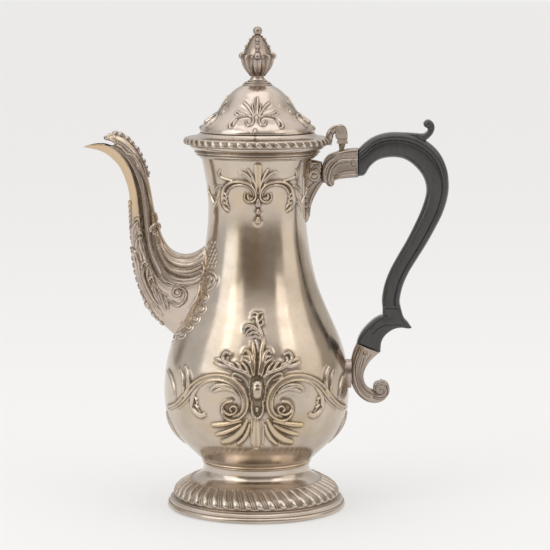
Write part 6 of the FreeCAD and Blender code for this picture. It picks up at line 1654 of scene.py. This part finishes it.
# ------------------------------------------------------------------ finial
plinth = profile([(1.6, 246.2), (8.3, 246.2)], [(8.3, 246.2), (8.7, 246.45), (8.75, 246.85), (8.4, 247.15)], [(8.4, 247.15), (7.3, 247.25)],
                 [(7.3, 247.25), (7.6, 247.5), (7.6, 247.95), (7.2, 248.2)], [(7.2, 248.2), (5.6, 248.35)],
                 [(5.6, 248.35), (5.8, 248.7), (5.6, 249.1), (5.2, 249.25)], [(5.2, 249.25), (4.6, 249.5), (4.3, 250.3)], [(4.3, 250.3), (1.6, 250.3)],
                 [(1.6, 250.3), (1.6, 246.2)], step=0.22)
revolve("finial_plinth_turned", plinth, 200, "lid", SILVER_MOULD, ["finial_plinth"],
        cav=groove_shade((247.2, 0.14, 1.0), (248.3, 0.14, 1.0), (249.35, 0.14, 0.9)))
FCOLS = 400
bud = profile([(0.0, 240.6), (1.5, 240.6)], [(1.5, 240.6), (1.5, 250.3)], [(1.5, 250.3), (3.95, 250.3)],
              [(3.95, 250.3), (3.65, 251.4), (4.3, 252.8), (6.0, 254.9), (7.6, 257.4), (8.4, 259.8), (8.7, 262.0), (8.9, 263.1)],
              [(8.9, 263.1), (8.4, 263.7), (7.5, 263.5)],
              [(7.5, 263.5), (6.9, 266.0), (5.6, 268.9), (4.1, 271.6), (2.4, 274.0), (1.5, 274.9)],
              [(1.5, 274.9), (2.35, 276.0), (2.65, 277.35), (2.3, 278.7), (1.4, 279.6), (0.0, 280.0)], step=0.22)


def finial_shape(th, prof):
    """Four strings of beads down a plain bud, over a calyx of four curled leaves with a pleated fan between each two."""
    z = prof[:, 1][:, None]
    r = np.maximum(prof[:, 0][:, None], 0.1)
    d = np.zeros((len(prof), len(th)))
    # c is painted shade: dark in the pleats and between the leaves, along the leaves' ribs, round the beads, at the
    # waist under the top knob and at the calyx's foot
    c = np.zeros_like(d)
    quarter = ((th[None, :] + math.pi / 4) % (math.pi / 2) - math.pi / 4) * r
    between = (th[None, :] % (math.pi / 2) - math.pi / 4) * r
    # calyx: fans of pleats spreading from the stem
    cal = (z > 251.6) & (z < 263.6) & (r > 3.0)
    up = np.clip((z - 251.6) / 11.8, 0, 1)
    fan = np.arctan2(between, z - 250.5)
    pleat = 0.5 + 0.5 * np.cos(fan * 17.0)
    inside = np.clip(1 - (np.abs(between) / (0.6 + 5.4 * up ** 0.8)) ** 4, 0, 1)
    d = np.where(cal, inside * (0.35 + 0.42 * pleat * (0.35 + 0.65 * up)) - 0.30 * (1 - inside), d)
    c = np.where(cal, np.clip(0.85 * (1 - pleat) * (0.3 + 0.7 * up) + 0.8 * (1 - inside), 0, 1), c)
    # a ruffled lip along the top of the fans
    lip = np.exp(-((z - 262.2) / 0.75) ** 2) * cal
    d += lip * (0.35 + 0.35 * np.cos(fan * 17.0))
    # the four leaves
    half = 0.5 + 1.9 * np.sin(np.clip(up, 0, 1) * 2.4)
    leaf = np.clip(1 - (np.abs(quarter) / half) ** 2, 0, 1) ** 0.5 * cal
    rib = np.exp(-(quarter / 0.28) ** 2)
    d = np.maximum(d, 0.95 * leaf - 0.30 * rib * leaf)
    c = np.where(leaf > 0.3, 0.55 * rib * (up < 0.8), c)
    # bud: sides very slightly hollow between the strings
    b = (z > 263.6) & (z < 274.8) & (r < 7.6)
    d = np.where(b, -0.22 * np.exp(-(between / (0.45 * r + 0.3)) ** 2), d)
    c = np.where(b, 0.12, c)
    strip = np.exp(-(quarter / 0.62) ** 2)
    d = np.where(b, d + 0.34 * strip, d)
    c = np.where(b & (np.abs(quarter) < 1.5), np.maximum(c, 0.62 * np.exp(-((np.abs(quarter) - 1.0) / 0.4) ** 2)), c)
    for at, size in ((262.9, 1.75), (266.2, 0.85), (268.2, 1.30), (270.3, 0.75), (272.2, 1.15), (274.0, 0.65)):
        gap = np.sqrt(quarter ** 2 + ((z - at) * 1.08) ** 2)
        dome = np.sqrt(np.clip(size ** 2 - gap ** 2, 0, None))
        ok = (z > 260.5) & (z < 275.2) & (r > 1.2)
        d = np.where(ok & (gap < size), np.maximum(d, 0.25 + dome), d)
        c = np.where(ok, np.maximum(c * (gap > size), 0.9 * np.exp(-((gap - size - 0.12) / 0.3) ** 2) * (gap > size * 0.92)), c)
    c = np.where((z > 274.6) & (z < 275.5), 0.8, c)
    c = np.where((z > 276.2) & (z < 280.1), 0.18, c)
    c = np.where((z > 250.2) & (z < 251.6) & (r > 3), 0.35, c)
    return d, c


revolve("finial_flower", bud, FCOLS, "lid", SILVER_FINIAL, ["finial"], lambda th, p: finial_shape(th, p)[0],
        cav=lambda th, p, d: finial_shape(th, p)[1], ridge=lambda th, p, d: 0.75 + 0 * d)

# ------------------------------------------------------------------ wood handle
ARM = [((58.5, 210.0), (58.5, 193.8), 11.4), ((61.8, 213.2), (62.2, 194.8), 11.6), ((66.0, 216.3), (65.6, 199.8), 11.8),
       ((71.6, 218.6), (70.6, 203.6), 12.0), ((78.0, 219.6), (77.6, 205.0), 12.0), ((86.0, 219.2), (84.0, 204.3), 11.9),
       ((94.0, 216.8), (88.8, 201.8), 11.7), ((101.0, 212.3), (92.7, 198.3), 11.5), ((106.2, 206.4), (95.7, 194.3), 11.3),
       ((109.7, 198.6), (97.4, 190.0), 11.1), ((111.0, 190.3), (97.9, 186.0), 10.9), ((110.4, 182.2), (97.3, 181.3), 10.8),
       ((107.6, 172.6), (95.0, 174.2), 10.7), ((103.2, 163.5), (91.4, 165.9), 10.6), ((98.0, 154.0), (86.8, 156.6), 10.5),
       ((92.8, 145.5), (81.6, 147.4), 10.4), ((88.2, 137.7), (77.2, 139.0), 10.3), ((85.0, 130.0), (74.2, 130.8), 10.3),
       ((83.4, 122.4), (72.8, 123.0), 10.3), ((83.8, 117.6), (73.0, 118.0), 10.4)]
# Section: a rounded roll along the outer edge, a groove under it, a flat side, and a bevel along the inner edge.
half_sec = [(1.0, 0.0), (0.985, 0.34), (0.93, 0.64), (0.83, 0.86), (0.70, 0.975), (0.56, 1.0), (0.46, 0.955), (0.40, 0.87), (0.365, 0.80),
            (0.33, 0.83), (0.27, 0.885), (0.1, 0.925), (-0.2, 0.94), (-0.5, 0.93), (-0.60, 0.91), (-0.66, 0.86), (-0.80, 0.72),
            (-0.93, 0.46), (-0.985, 0.22), (-1.0, 0.0)]
hs = spline(half_sec, step=0.04)
shape = np.vstack([hs, (hs[1:-1] * [1, -1])[::-1]])
wood = Parts()
P = tube_table(ARM, len(shape), step=0.7, shape=shape)
V, F = capped(P)
wood.add(V, F)
block = np.vstack([spline([(73.2, 119.0), (83.5, 119.0)], step=0.5)[:-1],
                   spline([(83.5, 119.0), (83.9, 117.1), (85.6, 111.8), (87.9, 109.1), (90.3, 105.7)], step=0.35)[:-1],
                   spline([(90.3, 105.7), (88.3, 105.3), (83.9, 105.8), (79.4, 104.7), (75.0, 101.4), (72.7, 97.3), (72.15, 91.6)], step=0.35)[:-1],
                   spline([(72.15, 91.6), (70.6, 91.4), (66.0, 93.4), (62.0, 95.1), (59.0, 96.3), (58.4, 97.2)], step=0.4)[:-1],
                   spline([(58.4, 97.2), (59.8, 100.8), (62.5, 104.9), (66.9, 109.4), (70.6, 112.0), (73.2, 113.0)], step=0.35)[:-1],
                   spline([(73.2, 113.0), (73.2, 119.0)], step=0.5)[:-1]])
plate(wood, block, -5.25, 5.25, edge=1.9, step=0.45, work=BLOCK_WORK)
horn = np.vstack([spline([(80.0, 219.2), (85.2, 219.35), (91.0, 219.05), (95.2, 218.75), (97.1, 219.3), (98.3, 220.7), (98.0, 222.0), (97.0, 222.5)], step=0.3)[:-1],
                  spline([(97.0, 222.5), (96.1, 223.3), (95.9, 224.8), (97.0, 226.3), (99.0, 226.9), (101.2, 225.4), (102.2, 222.6), (101.4, 219.4),
                          (99.3, 216.7), (96.4, 214.7), (93.4, 213.7), (90.5, 213.5)], step=0.25)[:-1],
                  spline([(90.5, 213.5), (86.0, 214.2), (80.0, 214.8)], step=0.4)[:-1],
                  spline([(80.0, 214.8), (80.0, 219.2)], step=0.5)[:-1]])
plate(wood, horn, -4.3, 4.3, edge=1.5, step=0.35, work=SCROLL_WORK)
ring_about_y(wood, 98.6, 224.2, [(0.0, -4.9), (1.1, -4.85), (1.7, -4.5), (2.0, -3.9), (2.0, 3.9), (1.7, 4.5), (1.1, 4.85), (0.0, 4.9)], cols=48)
wood.build("handle_wood", "pot", WOOD, ["wood_handle"])

# ------------------------------------------------------------------ the nodes that keep their own shape
for name, mat in (("hinge_pin", SILVER_HINGE), ("upper_handle_pin", SILVER_HINGE), ("lower_handle_pin", SILVER_HINGE), ("finial_nut", SILVER_HINGE),
                  ("lower_socket_pad", SILVER_SOCKET)):
    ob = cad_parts[name]
    for s in ob.material_slots:
        s.material = mat
    if not ob.material_slots:
        ob.data.materials.append(mat)


# ------------------------------------------------------------------ floor, light and camera
def floor_material():
    m = bpy.data.materials.new("pale_floor")
    m.use_nodes = True
    t = m.node_tree
    bs = t.nodes["Principled BSDF"]
    bs.inputs["Base Color"].default_value = (0.50, 0.50, 0.505, 1)
    bs.inputs["Roughness"].default_value = 0.9
    bs.inputs["Specular IOR Level"].default_value = 0.1
    bs.inputs["Emission Color"].default_value = (1, 1, 1, 1)
    bs.inputs["Emission Strength"].default_value = 0.40
    return m


def make_floor():
    n, rings = 96, [0.0, 0.5, 2.0, 8.0, 40.0]
    v = [(0, 0, -0.0002)]
    f = []
    for r in rings[1:]:
        for k in range(n):
            a = 2 * math.pi * k / n
            v.append((r * math.cos(a), r * math.sin(a), -0.0002))
    for k in range(n):
        f.append((0, 1 + k, 1 + (k + 1) % n))
    for ring in range(len(rings) - 2):
        a, b = 1 + ring * n, 1 + (ring + 1) * n
        for k in range(n):
            f.append((a + k, b + k, b + (k + 1) % n, a + (k + 1) % n))
    me = bpy.data.meshes.new("floor")
    me.from_pydata(v, [], f)
    me.materials.append(floor_material())
    ob = bpy.data.objects.new("floor", me)
    bpy.context.scene.collection.objects.link(ob)


def make_world():
    w = bpy.data.worlds.new("studio")
    bpy.context.scene.world = w
    w.use_nodes = True
    t = w.node_tree
    L = t.links.new
    t.nodes.clear()
    out = node(t, "ShaderNodeOutputWorld")
    co = node(t, "ShaderNodeTexCoord")
    sep = node(t, "ShaderNodeSeparateXYZ")
    L(co.outputs["Generated"], sep.inputs[0])
    # angle round from the front, -1 at the back by way of the left, +1 by way of the right
    neg = node(t, "ShaderNodeMath", operation="MULTIPLY", in_1=-1.0)
    L(sep.outputs["Y"], neg.inputs[0])
    ang = node(t, "ShaderNodeMath", operation="ARCTAN2")
    L(sep.outputs["X"], ang.inputs[0])
    L(neg.outputs[0], ang.inputs[1])
    u = node(t, "ShaderNodeMapRange", in_1=-math.pi, in_2=math.pi, in_3=0.0, in_4=1.0)
    L(ang.outputs[0], u.inputs[0])
    d = lambda deg: (deg + 180) / 360
    ring = ramp(t, [(d(-180), (0.62, 0.61, 0.59, 1)), (d(-138), (0.60, 0.59, 0.57, 1)), (d(-128), (0.36, 0.33, 0.29, 1)),
                    (d(-121), (0.36, 0.33, 0.29, 1)), (d(-114), (0.64, 0.65, 0.66, 1)), (d(-62), (0.65, 0.66, 0.66, 1)),
                    (d(-48), (0.62, 0.58, 0.47, 1)), (d(-40), (0.56, 0.52, 0.37, 1)), (d(-32), (0.215, 0.18, 0.145, 1)),
                    (d(6), (0.265, 0.228, 0.19, 1)), (d(20), (0.30, 0.27, 0.24, 1)), (d(40), (0.31, 0.28, 0.24, 1)), (d(56), (0.34, 0.30, 0.255, 1)),
                    (d(72), (0.41, 0.37, 0.315, 1)), (d(108), (0.46, 0.42, 0.365, 1)), (d(113), (0.43, 0.39, 0.34, 1)),
                    (d(119), (0.43, 0.39, 0.34, 1)), (d(124), (0.60, 0.58, 0.54, 1)), (d(180), (0.62, 0.61, 0.59, 1))])
    L(u.outputs[0], ring.inputs["Fac"])
    # overhead: a large soft panel
    top = ramp(t, [(0.0, (0, 0, 0, 1)), (0.40, (0, 0, 0, 1)), (0.72, (1, 1, 1, 1))])
    L(sep.outputs["Z"], top.inputs["Fac"])
    mix = node(t, "ShaderNodeMix", data_type="RGBA")
    L(top.outputs["Color"], mix.inputs["Factor"])
    L(ring.outputs["Color"], mix.inputs["A"])
    mix.inputs["B"].default_value = (1.02, 1.0, 0.97, 1)
    seen = node(t, "ShaderNodeBackground")
    seen.inputs["Color"].default_value = (0.86, 0.86, 0.86, 1)
    lit = node(t, "ShaderNodeBackground")
    L(mix.outputs["Result"], lit.inputs["Color"])
    lp = node(t, "ShaderNodeLightPath")
    both = node(t, "ShaderNodeMixShader")
    L(lp.outputs["Is Camera Ray"], both.inputs[0])
    L(lit.outputs[0], both.inputs[1])
    L(seen.outputs[0], both.inputs[2])
    L(both.outputs[0], out.inputs["Surface"])


def area(name, loc, target, size_x, size_y, power, color=(1, 1, 1)):
    from mathutils import Vector
    li = bpy.data.lights.new(name, "AREA")
    li.shape = "RECTANGLE"
    li.size, li.size_y = size_x, size_y
    li.energy = power
    li.color = color
    ob = bpy.data.objects.new(name, li)
    bpy.context.scene.collection.objects.link(ob)
    ob.location = loc
    ob.rotation_euler = (Vector(target) - Vector(loc)).to_track_quat("-Z", "Y").to_euler()


make_floor()
make_world()
area("key_left", (-1.25, -0.75, 0.75), (0, 0, 0.13), 0.9, 1.1, 3.0, (0.97, 0.985, 1.0))
area("fill_right", (1.35, -0.35, 0.65), (0, 0, 0.13), 0.9, 1.1, 2.0, (1.0, 0.97, 0.92))
area("key_small", (-0.85, -1.05, 1.05), (0, 0, 0.14), 0.70, 0.80, 1.8, (1.0, 0.985, 0.96))
area("key_small_right", (0.95, -0.85, 0.85), (0, 0, 0.14), 0.45, 0.60, 1.0, (1.0, 0.97, 0.93))
area("top_soft", (0.05, -0.25, 1.5), (0, 0, 0.15), 1.2, 1.0, 2.2)

cam = bpy.data.cameras.new("camera")
cam.lens = 149.17
cam.sensor_width = 36.0
cam.sensor_fit = "HORIZONTAL"
cam.clip_start, cam.clip_end = 0.05, 100.0
cam_ob = bpy.data.objects.new("camera", cam)
bpy.context.scene.collection.objects.link(cam_ob)
cam_ob.location = (0.0105 + AXIS_X * MM, -1.316, 0.304)
from mathutils import Matrix
cam_ob.rotation_euler = (Matrix.Rotation(math.radians(90 - 7.27), 4, "X") @ Matrix.Rotation(math.radians(0.2), 4, "Z")).to_euler()
bpy.context.scene.camera = cam_ob
bpy.context.scene.view_settings.view_transform = "Standard"
